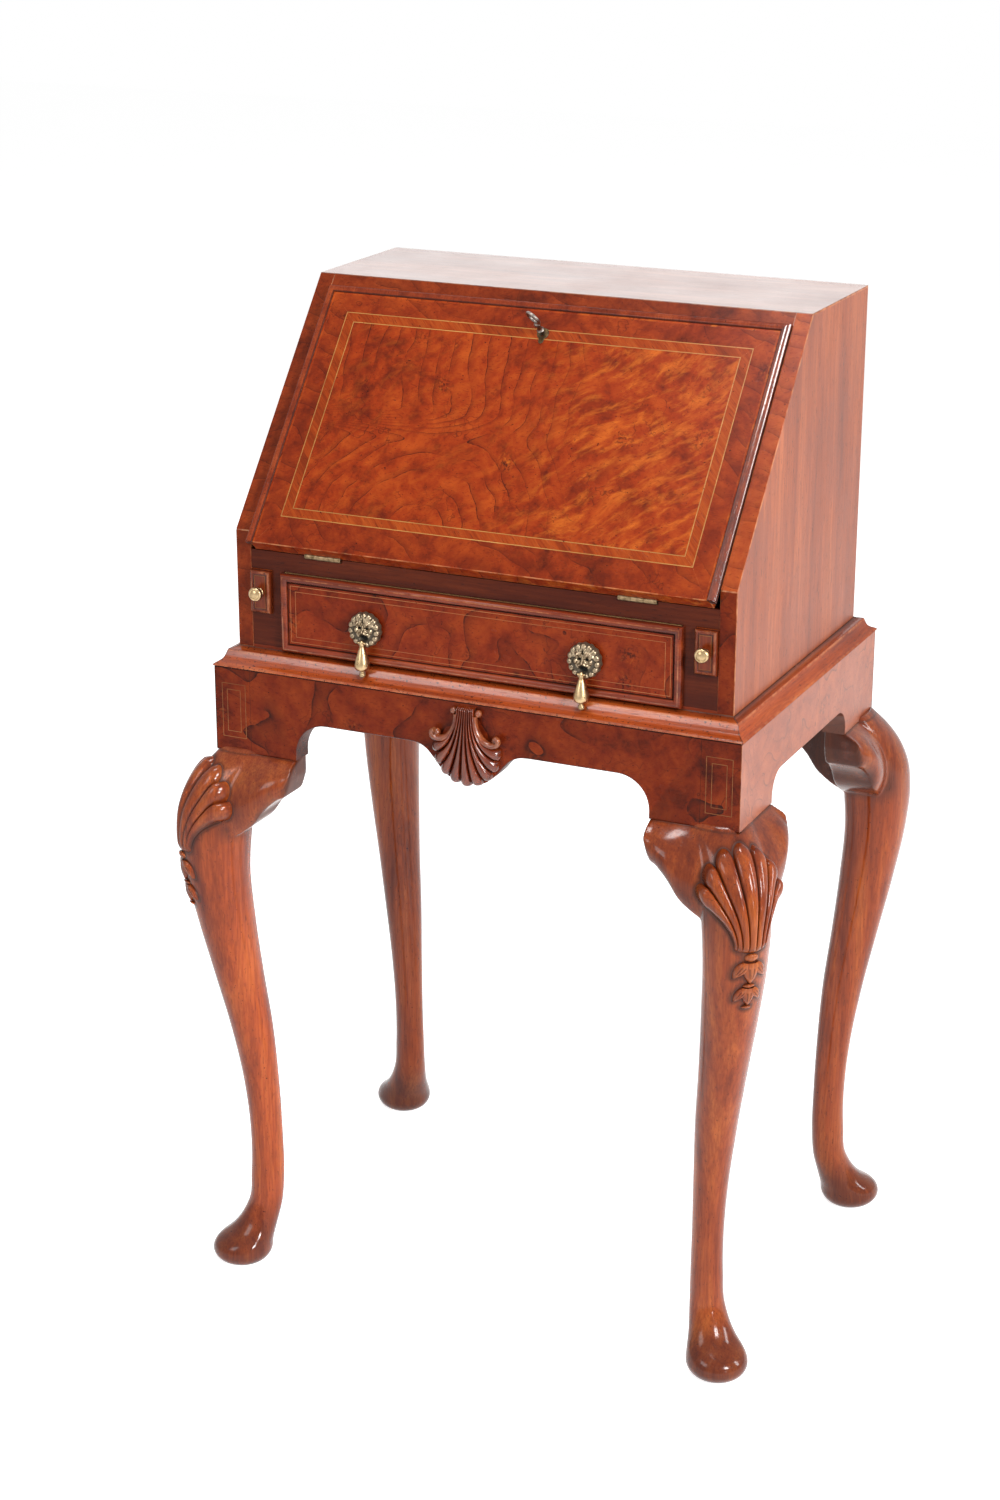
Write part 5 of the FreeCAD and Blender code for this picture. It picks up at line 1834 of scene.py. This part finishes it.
    def build(self) -> None:
        """Make the whole stand."""
        shape = CabrioleLeg()
        for end, depth, shift, rake in self.legs:
            carved = shape.carved(shift, rake)
            for side, word in SIDES:
                mesh = carved.copy()
                mesh.transform(Matrix.Diagonal((side, depth, 1.0, 1.0)))
                if side * depth < 0.0:
                    mesh.flip_normals()
                mesh.attributes.new("recess", "FLOAT", "POINT").data.foreach_set("value", shape.stain_and_shade(mesh))
                if end == "front":
                    KneeShell().build(word, mesh, (side, depth))
                corner = end + "_" + word
                nodes = ("leg_" + corner, "knee_brackets_" + end)
                Piece("cabriole_leg_" + corner, Body.FRAME, Slot.SOLID, LEG_WALNUT, nodes, 60.0).place(mesh)
            bpy.data.meshes.remove(carved)
        self.friezes()
        self.mouldings()
        self.corner_strings()
        ApronShell().build()


# Case and fall

@dataclass
class Case:
    """The sloped case: its sides and the veneers on its front edges and its top."""

    half_out: float = 0.25575
    half_in: float = 0.23975
    foot: float = 0.6491
    top: float = 1.0
    top_under: float = 0.986
    front: float = -0.17125
    back: float = 0.17125
    slope_start: float = 0.7823
    rounding: float = 0.0011
    veneer: float = 0.0003
    veneer_rounding: float = 0.6
    seam: float = 0.0005
    overlap: float = 0.0001
    inset: float = 0.0002
    crest_inset: float = 0.0003
    over_moulding: float = 0.0177

    def side(self, sign: float) -> Mesh:
        """Cut one side with its sloped front edge.

        Args:
            sign: sign of the side's x.

        Returns:
            The mesh.
        """
        crest = self.front + (self.top - self.slope_start) * SLOPE_COS / SLOPE_SIN
        outline = [
            (self.front, self.foot), (self.front, self.slope_start), (crest, self.top),
            (self.back, self.top), (self.back, self.foot),
        ]
        halves = (self.half_out, self.half_in)
        face, inner = ([Vector((sign * half, y, z)) for y, z in outline] for half in halves)
        return board(face, inner, self.rounding)

    def edge_veneers(self) -> list[tuple[str, Mesh]]:
        """Cut the veneers on the front edges of the sides and of the top, and on the top.

        Returns:
            Name and mesh of each strip.
        """
        seam, inset = self.seam, self.inset
        crest = (self.top - self.slope_start) / SLOPE_SIN
        lower = (self.top_under - self.slope_start) / SLOPE_SIN
        strips = []
        for sign, word in SIDES:
            near, far = sign * (self.half_in + self.overlap), sign * (self.half_out - inset)
            low, high = self.foot + self.over_moulding, self.slope_start - seam
            flat = [(near, seam), (far, seam), (far, crest - seam), (near, crest - seam)]
            strips.append(("slope_veneer_" + word, flat, on_slope))
            flat = [(near, low), (far, low), (far, high), (near, high)]
            strips.append(("front_veneer_" + word, flat, on_face(0.0, self.front)))
        flat = rectangle(self.half_in - self.crest_inset, lower + seam, crest - seam)
        strips.append(("crest_veneer", flat, on_slope))
        flat = rectangle(self.half_out - inset, on_slope(0.0, crest, 0.0).y, self.back - inset)
        strips.append(("top_veneer", flat, lambda a, b, c: Vector((a, b, self.top + c))))
        boards = []
        for name, flat, place in strips:
            face, back = ([place(x, up, out) for x, up in flat] for out in (self.veneer, -self.veneer))
            boards.append((name, board(face, back, self.veneer * self.veneer_rounding)))
        return boards

    def build(self) -> None:
        """Make the case."""
        for sign, word in SIDES:
            nodes = ("case_side_" + word,)
            Piece("bureau_side_" + word, Body.FRAME, Slot.VENEER, SIDE_WALNUT, nodes).place(self.side(sign))
        # The right slope strip takes the lit copy of the edge burr; the other strips default to the shaded
        # copy.
        chosen = {
            "top_veneer": TOP_WALNUT, "slope_veneer_right": LIT_EDGE, "front_veneer_right": FRIEZE_VENEER,
        }
        for name, mesh in self.edge_veneers():
            Piece(name, Body.FRAME, Slot.VENEER, chosen.get(name, SHADED_EDGE_BURR)).place(mesh)


@dataclass
class Fall:
    """The sloped fall with its raised bead, stringing, feather band, keyhole plate and key."""

    half: float = 0.23925
    low: float = -0.01322
    high: float = 0.26794
    inner: float = -0.01135
    proud: float = 0.007
    rounding: float = 0.0007
    field_level: float = 0.0048
    bead_wide: float = 0.008
    bead_cover: float = 0.6
    bead_foot: float = 0.0012
    bead_over: float = 0.0003
    bead_root: float = 0.004
    bead_edge: tuple = ((0.0, 0.12), (0.0002, 0.2), (0.0019, 0.86), (0.0024, 0.94))
    bead_turns: Flat = (0.4 * pi, 0.93 * pi)
    bead_points: int = 11
    bead_low: float = 0.25
    # Painted shade at the bead's outer foot and in the quirk inside it.
    bead_painted_light: tuple = (0.9, 0.7, 0.2, *[0.0] * 9, *[0.7] * 4, 1.0, 1.0, 1.0)
    quirk: float = 0.0019
    outer_string: Triple = (0.21, 0.017, 0.239)
    inner_string: Triple = (0.2, 0.0265, 0.229)
    string_half: float = 0.0004
    string_levels: Flat = (-0.0006, 0.00012)
    border_low: float = 0.0008
    band_levels: Flat = (0.00005, -0.0006)
    band_rounding: float = 0.00004
    key_up: float = 0.23494
    key_profile: tuple = (
        (0.0, -0.004), (0.0022, -0.004), (0.0022, 0.0105), (0.0034, 0.0115), (0.0036, 0.0128),
        (0.0026, 0.0138), (0.0022, 0.015), (0.002, 0.0205), (0.003, 0.0218), (0.0033, 0.0232),
        (0.0026, 0.0246), (0.0016, 0.0262), (0.0, 0.0268),
    )
    bow_turn: float = 65.0
    bow_out: float = 0.0345
    bow_radius: float = 0.0075
    bow_squash: float = 0.94
    bow_thick: float = 0.0015
    bow_points: tuple = (49, 14)
    plate_radius: float = 0.006
    plate_points: int = 40
    plate_tail: tuple = ((-0.0022, -0.0095), (0.0, -0.0108), (0.0022, -0.0095))
    plate_levels: tuple = (
        (1.0, -0.0006, 0.9), (1.0, 0.0004, 0.6), (0.9, 0.0009, 0.1),
        (0.55, 0.0011, 0.2), (0.34, 0.001, 0.5), (0.32, -0.0004, 1.0),
    )

    def bead(self) -> list[Surface]:
        """Run the bead up both edges and across the top, with a quirk inside it darkened by painted shade.

        Returns:
            The bead on the left and top edges, and the bead on the right edge.
        """
        wide, foot = self.bead_wide, self.field_level - self.bead_foot
        rise = self.proud + self.bead_over - foot
        section = [(0.0, foot - self.bead_root)]
        section += [(far, foot + rise * share) for far, share in self.bead_edge]
        for turn in np.linspace(*self.bead_turns, self.bead_points):
            far = wide * (0.5 - 0.5 * cos(turn))
            section.append((far, foot + rise * grown(self.bead_low, sin(turn))))
        last = wide + self.quirk
        section += [(wide, foot), (last, foot), (last, foot - self.bead_root)]
        corners = (
            (-self.half, self.low, 1.0, 0.0), (-self.half, self.high, 1.0, -1.0),
            (self.half, self.high, -1.0, -1.0), (self.half, self.low, -1.0, 0.0),
        )
        rows = []
        for x, up, aside, down in corners:
            rows.append([on_slope(x + aside * far, up + down * far, out) for far, out in section])
        return [Surface().tube(part, [self.bead_painted_light] * len(part)) for part in (rows[:3], rows[2:])]

    def string(self, size: Triple) -> Surface:
        """Inlay one rectangle of stringing."""
        levels = tuple(self.field_level + level for level in self.string_levels)
        return stringing(size, -self.string_half, self.string_half, levels, on_slope)

    def band(self, outer: Sequence[Flat], inside: Sequence[Flat]) -> list[tuple[str, Mesh]]:
        """Cut four mitred strips of veneer between two rectangles.

        Args:
            outer: corners of the outer rectangle.
            inside: corners of the inner one.

        Returns:
            Name and mesh of each strip.
        """
        strips = []
        for index, word in enumerate(("foot", "right", "head", "left")):
            after = (index + 1) % len(outer)
            flat = [outer[index], outer[after], inside[after], inside[index]]
            levels = [self.field_level + level for level in self.band_levels]
            face, back = ([on_slope(x, up, level) for x, up in flat] for level in levels)
            strips.append((word, board(face, back, self.band_rounding)))
        return strips

    def panel(self) -> Mesh:
        """Cut the panel of the fall, whose foot shows a lighter worn edge.

        Returns:
            The mesh.
        """
        inset = self.bead_wide * self.bead_cover
        outline = rectangle(self.half - inset, self.low, self.high - inset)
        face, back = ([on_slope(x, up, out) for x, up in outline] for out in (self.field_level, self.inner))
        return board(face, back, self.rounding)

    def key(self) -> Surface:
        """Turn the key's shank and collar and bend its bow.

        Returns:
            The key.
        """
        base, origin = on_slope(0.0, self.key_up, 0.0), on_slope(0.0, 0.0, 0.0)
        axis = on_slope(0.0, 0.0, 1.0) - origin
        turn = Matrix.Rotation(radians(self.bow_turn), 3, axis)
        rise, thick = turn @ (on_slope(0.0, 1.0, 0.0) - origin), turn @ Vector((1.0, 0.0, 0.0))
        count, wire_count = self.bow_points
        turns = np.linspace(0.0, FULL_TURN, wire_count, endpoint=False)
        rows = []
        for angle in np.linspace(0.0, FULL_TURN, count):
            way = axis * cos(angle) + rise * sin(angle) * self.bow_squash
            spot = base + axis * self.bow_out + way * self.bow_radius
            rows.append([spot + self.bow_thick * (way * cos(a) + thick * sin(a)) for a in turns])
        return lathe(self.key_profile, base, axis).sleeve(rows)

    def plate(self) -> Surface:
        """Cut the keyhole plate: a small softly domed disc with a tail.

        Returns:
            The plate.
        """
        line = arc((0.0, self.key_up), self.plate_radius, -60.0, 240.0, self.plate_points)
        line += [(x, self.key_up + up) for x, up in self.plate_tail]
        rows, shades = [], []
        for share, out, tone in self.plate_levels:
            row = [(x * share, self.key_up + (up - self.key_up) * share) for x, up in line]
            rows.append([on_slope(x, up, self.field_level + out) for x, up in row])
            shades.append([tone] * len(row))
        return Surface().tube(rows, shades)

    def build(self) -> None:
        """Make the fall and all that it carries."""
        Piece("fall_board", Body.FALL, Slot.BURR, FALL_BURR, ("fall_panel",)).place(self.panel())
        # The right bead takes the lit copy of the bead finish, standing in for its highlight.
        finishes = (("left", BEAD_WALNUT), ("right", LIT_BEAD))
        for (word, finish), skin in zip(finishes, self.bead()):
            Piece("fall_bead_" + word, Body.FALL, Slot.SOLID, finish, ("fall_beads",), 50.0).place(skin)
        outer, inside = rectangle(*self.outer_string), rectangle(*self.inner_string)
        inset = self.bead_wide + self.quirk
        edge = rectangle(self.half - inset, self.low + self.border_low, self.high - inset)
        for word, mesh in self.band(outer, inside):
            Piece("feather_band_" + word, Body.FALL, Slot.VENEER, FEATHER_BAND).place(mesh)
        for word, mesh in self.band(edge, outer):
            Piece("border_veneer_" + word, Body.FALL, Slot.BURR, BORDER_BURR).place(mesh)
        for word, size in (("outer", self.outer_string), ("inner", self.inner_string)):
            Piece("fall_string_" + word, Body.FALL, Slot.PALE, STRINGING).place(self.string(size))
        Piece("keyhole_plate", Body.FALL, Slot.BRASS, DARK_BRASS, ("escutcheon",), 30.0).place(self.plate())
        Piece("key_and_bow", Body.KEY, Slot.STEEL, STEEL, ("key",), 50.0).place(self.key())


# Drawer and lopers

@dataclass
class Drawer:
    """The long drawer's beaded front with its stringing, and the two loper faces beside it."""

    half: float = 0.2065
    low: float = 0.6673
    high: float = 0.74499
    face: float = -0.1782
    back: float = -0.17155
    bead: float = 0.0078
    bead_sunk: float = 0.2
    bead_edge: float = 0.6
    bead_turns: Flat = (0.06 * pi, 0.94 * pi)
    bead_points: int = 15
    # Painted shade on the bead's outer shoulder and at its inner foot, and a painted highlight line on its
    # crest.
    bead_painted_light: tuple = (0.5, 0.5, 0.3, 0.3, *[0.0] * 4, -1.0, *[0.0] * 6, 0.5, 0.5, 1.0, 1.0)
    field_share: float = 0.6
    # The field's edge at the quirk takes painted shade.
    field_edge: tuple = ((0.0, -0.0008, 1.0), (0.0002, 0.0, 0.5), (0.0008, 0.0, 0.0))
    quirk: float = 0.0008
    rim_back: float = 0.0004
    # Painted shade on the rim behind the bead.
    rim_shade: float = 0.7
    strings: tuple = ((0.1955, 0.6782, 0.7341), (0.1901, 0.6836, 0.7287))
    string_half: float = 0.00025
    string_levels: Flat = (-0.0006, 0.00014)
    loper_half: float = 0.01078
    loper_middle: float = 0.22858
    loper_low: float = 0.7028
    loper_high: float = 0.7452
    loper_back: float = -0.17125
    loper_deep: float = 0.006
    loper_field: float = 0.8
    loper_inset: float = 0.0052
    # Tones: painted shade at the foot of the edge and in the groove inside it, and a painted highlight on
    # the rounded edge.
    loper_edge: tuple = (
        (0.0, 0.0, 0.6), (0.0, 0.5, 0.3), (0.0004, 0.72, -0.3), (0.0012, 0.92, -0.7), (0.0022, 1.0, -0.5),
        (0.0032, 0.97, 0.0), (0.0038, 0.84, 0.8), (0.0045, 0.8, 0.4), (0.0055, 0.8, 0.0),
    )

    def framed_front(self, size: Triple, profile: Sequence[Triple], place: Place) -> Surface:
        """Make a front with a moulded edge: the profile runs from the back edge in to the flat field.

        Args:
            size: half width, foot and top of the front.
            profile: distance in from the edge, distance out from the back and tone of each point.
            place: puts along, up and out in space.

        Returns:
            The closed front.
        """
        half, low, high = size
        rows, shades = [], []
        for inset, out, tone in profile:
            rows.append([place(x, up, out) for x, up in rectangle(half - inset, low + inset, high - inset)])
            shades.append([tone] * 4)
        return Surface().tube(rows, shades)

    def front(self) -> Surface:
        """Make the drawer's field with the quirk round it, darkened by painted shade.

        Returns:
            The field.
        """
        level = (self.back - self.face) * self.field_share
        rim, quirk = self.bead * 0.5, self.bead + self.quirk
        sunk = level + self.field_edge[0][1]
        profile = [(rim, self.rim_back, self.rim_shade), (rim, sunk, self.rim_shade)]
        profile += [(quirk + inset, level + out, tone) for inset, out, tone in self.field_edge]
        return self.framed_front((self.half, self.low, self.high), profile, on_face(0.0, self.back))

    def front_bead(self) -> Surface:
        """Run the half-round bead round the drawer front.

        Returns:
            The bead.
        """
        deep = self.back - self.face
        foot = deep * (self.field_share - self.bead_sunk)
        edge = foot * self.bead_edge
        section = [(0.0, 0.0), (0.0, edge)]
        for turn in np.linspace(*self.bead_turns, self.bead_points):
            far = self.bead * (0.5 - 0.5 * cos(turn))
            section.append((far, foot + (deep - foot) * sin(turn)))
        section += [(self.bead, edge), (self.bead, 0.0)]
        profile = [(-far, out) for far, out in section]
        path = rectangle(self.half, self.low, self.high)
        return framed(path, profile, on_face(0.0, self.back), self.bead_painted_light)

    def inlay(self, size: Triple, middle: float, level: float) -> Surface:
        """Inlay a rectangle of stringing in the face at that depth, about a middle."""
        place = on_face(middle, level)
        return stringing(size, -self.string_half, self.string_half, self.string_levels, place)

    def loper_front(self, sign: float) -> Surface:
        """Make one loper face with a moulded edge.

        Args:
            sign: sign of its x.

        Returns:
            The face.
        """
        profile = [(inset, self.loper_deep * share, tone) for inset, share, tone in self.loper_edge]
        size = (self.loper_half, self.loper_low, self.loper_high)
        return self.framed_front(size, profile, on_face(sign * self.loper_middle, self.loper_back))

    def build(self) -> None:
        """Make the drawer front and the loper faces."""
        node = ("drawer_front",)
        Piece("drawer_beaded_front", Body.DRAWER, Slot.BURR, DRAWER_BURR, node, 35.0).place(self.front())
        Piece("drawer_bead", Body.DRAWER, Slot.SOLID, DRAWER_BEAD, node, 50.0).place(self.front_bead())
        level = self.back - (self.back - self.face) * self.field_share
        for number, size in enumerate(self.strings, 1):
            piece = Piece("drawer_string_%d" % number, Body.DRAWER, Slot.PALE, DRAWER_STRING)
            piece.place(self.inlay(size, 0.0, level))
        inset = self.loper_inset
        string = (self.loper_half - inset, self.loper_low + inset, self.loper_high - inset)
        level = self.loper_back - self.loper_deep * self.loper_field
        for sign, word in SIDES:
            body = Body("loper_" + word)
            nodes = ("loper_face_" + word,)
            panel = Piece("loper_panel_" + word, body, Slot.SOLID, LOPER_WALNUT, nodes, 35.0)
            panel.place(self.loper_front(sign))
            inlay = self.inlay(string, sign * self.loper_middle, level)
            Piece("loper_string_" + word, body, Slot.PALE, DIM_STRING).place(inlay)


# Brass

@dataclass
class LionMask:
    """A cast lion mask on the drawer: mane of curls, brow, eyes, muzzle and open mouth."""

    middle: Flat = (0.113, 0.7025)
    ground: float = -0.1782
    sunk: float = 0.0006
    radius: float = 0.0165
    taller: float = 1.02
    rise: float = 0.0092
    rim_height: float = 0.08
    rings: int = 46
    steps: int = 120
    inmost: float = 0.02
    scallop: float = 0.028
    dome_reach: float = 1.06
    dome: Flat = (0.22, 0.48)
    face_reach: float = 0.5
    grounds: Flat = (0.6, 0.05)
    curls: int = 15
    curl_rings: tuple = ((0.85, 0.19, 0.0, -2.0), (0.62, 0.17, 0.5, 0.25))
    curl_relief: Flat = (0.3, 0.1)
    curl_eye: Flat = (0.8, 3.2)
    curl_edge: Flat = (0.6, 2.0)
    bumps: tuple = (
        (0.0, 0.16, 0.12, 0.36, 0.26), (0.0, -0.08, 0.22, 0.18, 0.4), (0.27, 0.42, 0.22, 0.18, 0.34),
        (0.2, -0.2, 0.18, 0.12, 0.24), (0.0, -0.72, 0.26, 0.1, 0.3), (0.46, 0.0, 0.17, 0.22, 0.26),
    )
    bump_edge: Flat = (0.45, 1.6)
    pits: tuple = (
        (0.23, 0.14, 0.13, 0.09, 0.3), (0.0, -0.46, 0.33, 0.19, 0.5), (0.0, 0.52, 0.06, 0.2, 0.16),
    )
    pit_dark: float = 2.2
    stud_turns: tuple = (28.0, 75.0, 128.0, 232.0, 285.0, 332.0)
    stud_ring: Flat = (0.93, 0.95)
    stud_out: float = 0.0022
    stud_size: Flat = (0.0013, 0.0014)

    def relief(self, x: float, up: float) -> Flat:
        """Give height and recess of the face at a place, both in shares.

        Args:
            x: place across, in shares of the radius.
            up: place upward, in shares of the radius.

        Returns:
            Height share and recess share.
        """
        far, turn = hypot(x, up), atan2(x, up)
        base = self.dome[0] + self.dome[1] * bulge(far / self.dome_reach)
        height, dark = base, self.grounds[0] if far > self.face_reach else self.grounds[1]
        lock = turn * self.curls / FULL_TURN
        for ring, size, shift, lowest in self.curl_rings:
            near = (lock + shift + 0.5) % 1.0 - 0.5
            gap = hypot(near * FULL_TURN * ring / self.curls, far - ring) / size
            if gap < 1.0 and up > lowest:
                curl = self.curl_relief[0] * bulge(gap) - self.curl_relief[1] * max(0.0, 1.0 - gap * 3.0)
                height = max(height, base + curl)
                eye, edge = self.curl_eye, self.curl_edge
                dark = min(dark, max(eye[0] - gap * eye[1], edge[1] * (gap - edge[0]), 0.0))
        for across, high, wide, tall, add in self.bumps:
            gap = hypot((abs(x) - across) / wide, (up - high) / tall)
            if gap < 1.0:
                height += add * (1.0 - gap ** 2) ** 1.5
                dark = min(dark, max(0.0, self.bump_edge[1] * (gap - self.bump_edge[0])))
        for across, high, wide, tall, take in self.pits:
            gap = hypot((abs(x) - across) / wide, (up - high) / tall)
            if gap < 1.0:
                height -= take * (1.0 - gap ** 2)
                dark = max(dark, min(1.0, self.pit_dark * (1.0 - gap)))
        return height, dark

    def cast(self, side: float) -> Surface:
        """Cast the mask of one side.

        Args:
            side: sign of the side's x.

        Returns:
            The mask.
        """
        last = self.rings - 1
        cells = []
        for ring, step in product(range(self.rings), range(self.steps + 1)):
            share, turn = grown(self.inmost, ring / last), FULL_TURN * step / self.steps
            far = share * (1.0 + self.scallop * cos(turn * self.curls) * share ** 4)
            x, up = far * sin(turn), far * cos(turn)
            height, dark = self.relief(x, up)
            if ring == last:
                height = self.rim_height
            x = side * self.middle[0] + x * self.radius
            z = self.middle[1] + up * self.radius * self.taller
            over, under = self.ground - self.rise * height, self.ground + self.sunk
            cells.append((Vector((x, over, z)), Vector((x, under, z)), dark))
        return carving(cells, self.steps + 1)

    def studs(self, side: float) -> Surface:
        """Set the small studs on the rim.

        Args:
            side: sign of the side's x.

        Returns:
            The studs.
        """
        wide, out = self.stud_size
        profile = [(wide * sin(a), -out * cos(a)) for a in np.linspace(0.0, pi, 9)]
        skin = Surface()
        for turn in self.stud_turns:
            angle = radians(turn)
            x = side * self.middle[0] + self.stud_ring[0] * self.radius * sin(angle)
            z = self.middle[1] + self.stud_ring[1] * self.radius * cos(angle)
            skin.join(lathe(profile, Vector((x, self.ground - self.stud_out, z)), FORWARD))
        return skin

    def build(self) -> None:
        """Cast both masks."""
        for side, word in SIDES:
            for name, skin in (("lion_mask_", self.cast(side)), ("mask_studs_", self.studs(side))):
                Piece(name + word, Body.DRAWER, Slot.AGED, AGED_BRASS, ("mask_" + word,), 75.0).place(skin)


@dataclass
class Turnings:
    """Turned brass: the pear drops in the masks' mouths and the loper knobs."""

    pivot: Triple = (0.113, -0.1872, 0.691)
    length: float = 0.0345
    radius: float = 0.0074
    drop_points: int = 60
    drop_shares: tuple = (
        (0.0, -0.02), (0.28, -0.03), (0.32, -0.1), (0.54, -0.24), (0.84, -0.45),
        (1.0, -0.61), (0.96, -0.69), (0.76, -0.755), (0.44, -0.79), (0.27, -0.81),
        (0.25, -0.83), (0.38, -0.875), (0.4, -0.92), (0.3, -0.97), (0.0, -1.0),
    )
    finial: float = 0.79
    finial_tone: float = 0.35
    eye: tuple = (
        (0.0, -0.0017), (0.0019, -0.0017), (0.0026, -0.001),
        (0.0026, 0.001), (0.0019, 0.0017), (0.0, 0.0017),
    )
    pin: tuple = ((0.0, -0.004), (0.001, -0.004), (0.001, 0.004), (0.0, 0.004))
    knob_middle: Flat = (0.22858, 0.72405)
    knob_base: float = -0.17725
    knob_points: int = 40
    knob_profile: tuple = (
        (0.0, -0.0005), (0.0042, -0.0005), (0.0044, 0.0008), (0.003, 0.0018), (0.0028, 0.0032),
        (0.0036, 0.0042), (0.0062, 0.005), (0.0069, 0.0062), (0.0069, 0.0084), (0.0062, 0.0098),
        (0.0051, 0.0103), (0.0045, 0.0099), (0.0039, 0.0103), (0.002, 0.011), (0.0, 0.0112),
    )

    def drop(self, side: float) -> Surface:
        """Turn one pear drop with its pin and eye.

        Args:
            side: sign of the side's x.

        Returns:
            The drop.
        """
        base = Vector((side * self.pivot[0], self.pivot[1], self.pivot[2]))
        corners = [(radius * self.radius, -down * self.length) for radius, down in self.drop_shares]
        line = turned_line(corners, self.drop_points)
        tones = [self.finial_tone if far > self.length * self.finial else 0.0 for _, far in line]
        skin = lathe(line, base, Vector((0.0, 0.0, -1.0)), tones)
        for profile in (self.eye, self.pin):
            skin.join(lathe(profile, base, Vector((1.0, 0.0, 0.0))))
        return skin

    def knob(self, side: float) -> Surface:
        """Turn one loper knob."""
        base = Vector((side * self.knob_middle[0], self.knob_base, self.knob_middle[1]))
        return lathe(turned_line(self.knob_profile, self.knob_points), base, FORWARD)

    def build(self) -> None:
        """Turn both drops and both knobs."""
        for side, word in SIDES:
            pieces = (
                ("pear_drop_", "drop_", "drop_", self.drop(side)),
                ("brass_knob_", "loper_", "loper_knob_", self.knob(side)),
            )
            for name, body, node, skin in pieces:
                Piece(name + word, Body(body + word), Slot.BRASS, BRASS, (node + word,), 60.0).place(skin)


# Nodes of the CAD model

NODE_FINISHES = {
    LEG_WALNUT: (
        "leg_front_left", "leg_front_right", "leg_back_left", "leg_back_right", "knee_brackets_front",
        "knee_brackets_back", "apron_shell", "fall_beads", "loper_face_left", "loper_face_right",
    ),
    MOULDING_X: ("moulding_front", "moulding_back"),
    MOULDING_Y: ("moulding_left", "moulding_right", "loper_left", "loper_right"),
    FRIEZE_VENEER: ("front_apron", "left_apron", "right_apron"),
    SIDE_WALNUT: ("case_side_left", "case_side_right"),
    BACK_WALNUT: ("back_apron", "case_bottom"),
    TOP_WALNUT: ("case_top", "writing_bed"),
    RAIL_WALNUT: (
        "front_rail", "loper_bearer_left", "loper_bearer_right", "partition_left", "partition_right",
    ),
    FALL_BURR: ("fall_panel",),
    DRAWER_BURR: ("drawer_front",),
    PALE_WOOD: (
        "gallery_shelves", "drawer_inner_front", "drawer_back", "drawer_bottom",
        "small_drawer_left", "small_drawer_right", "drawer_side_left", "drawer_side_right",
    ),
    PALE_UPRIGHT: ("case_back", "gallery_dividers"),
    WORN_BRASS: ("hinge_rail_leaves", "hinge_fall_leaves", "escutcheon"),
    BRASS: (
        "drop_left", "drop_right", "mask_bolts",
        "loper_knob_left", "loper_knob_right", "small_knob_left", "small_knob_right",
    ),
    AGED_BRASS: ("mask_left", "mask_right"),
    STEEL: ("hinge_pins", "hinge_rail_screws", "hinge_fall_screws", "lock_case", "lock_bolt", "key"),
}


def dress_nodes() -> None:
    """Give every CAD node its finish."""
    for finish, names in NODE_FINISHES.items():
        for name in names:
            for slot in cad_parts[name].material_slots:
                slot.material = finish.material()


# Build

def main() -> None:
    """Build the studio and every sub-assembly."""
    logging.basicConfig(level=logging.INFO, format="%(message)s")
    Studio().build()
    dress_nodes()
    for part in (Stand(), Case(), Fall(), Drawer(), LionMask(), Turnings()):
        part.build()


if __name__ == "__main__":
    main()
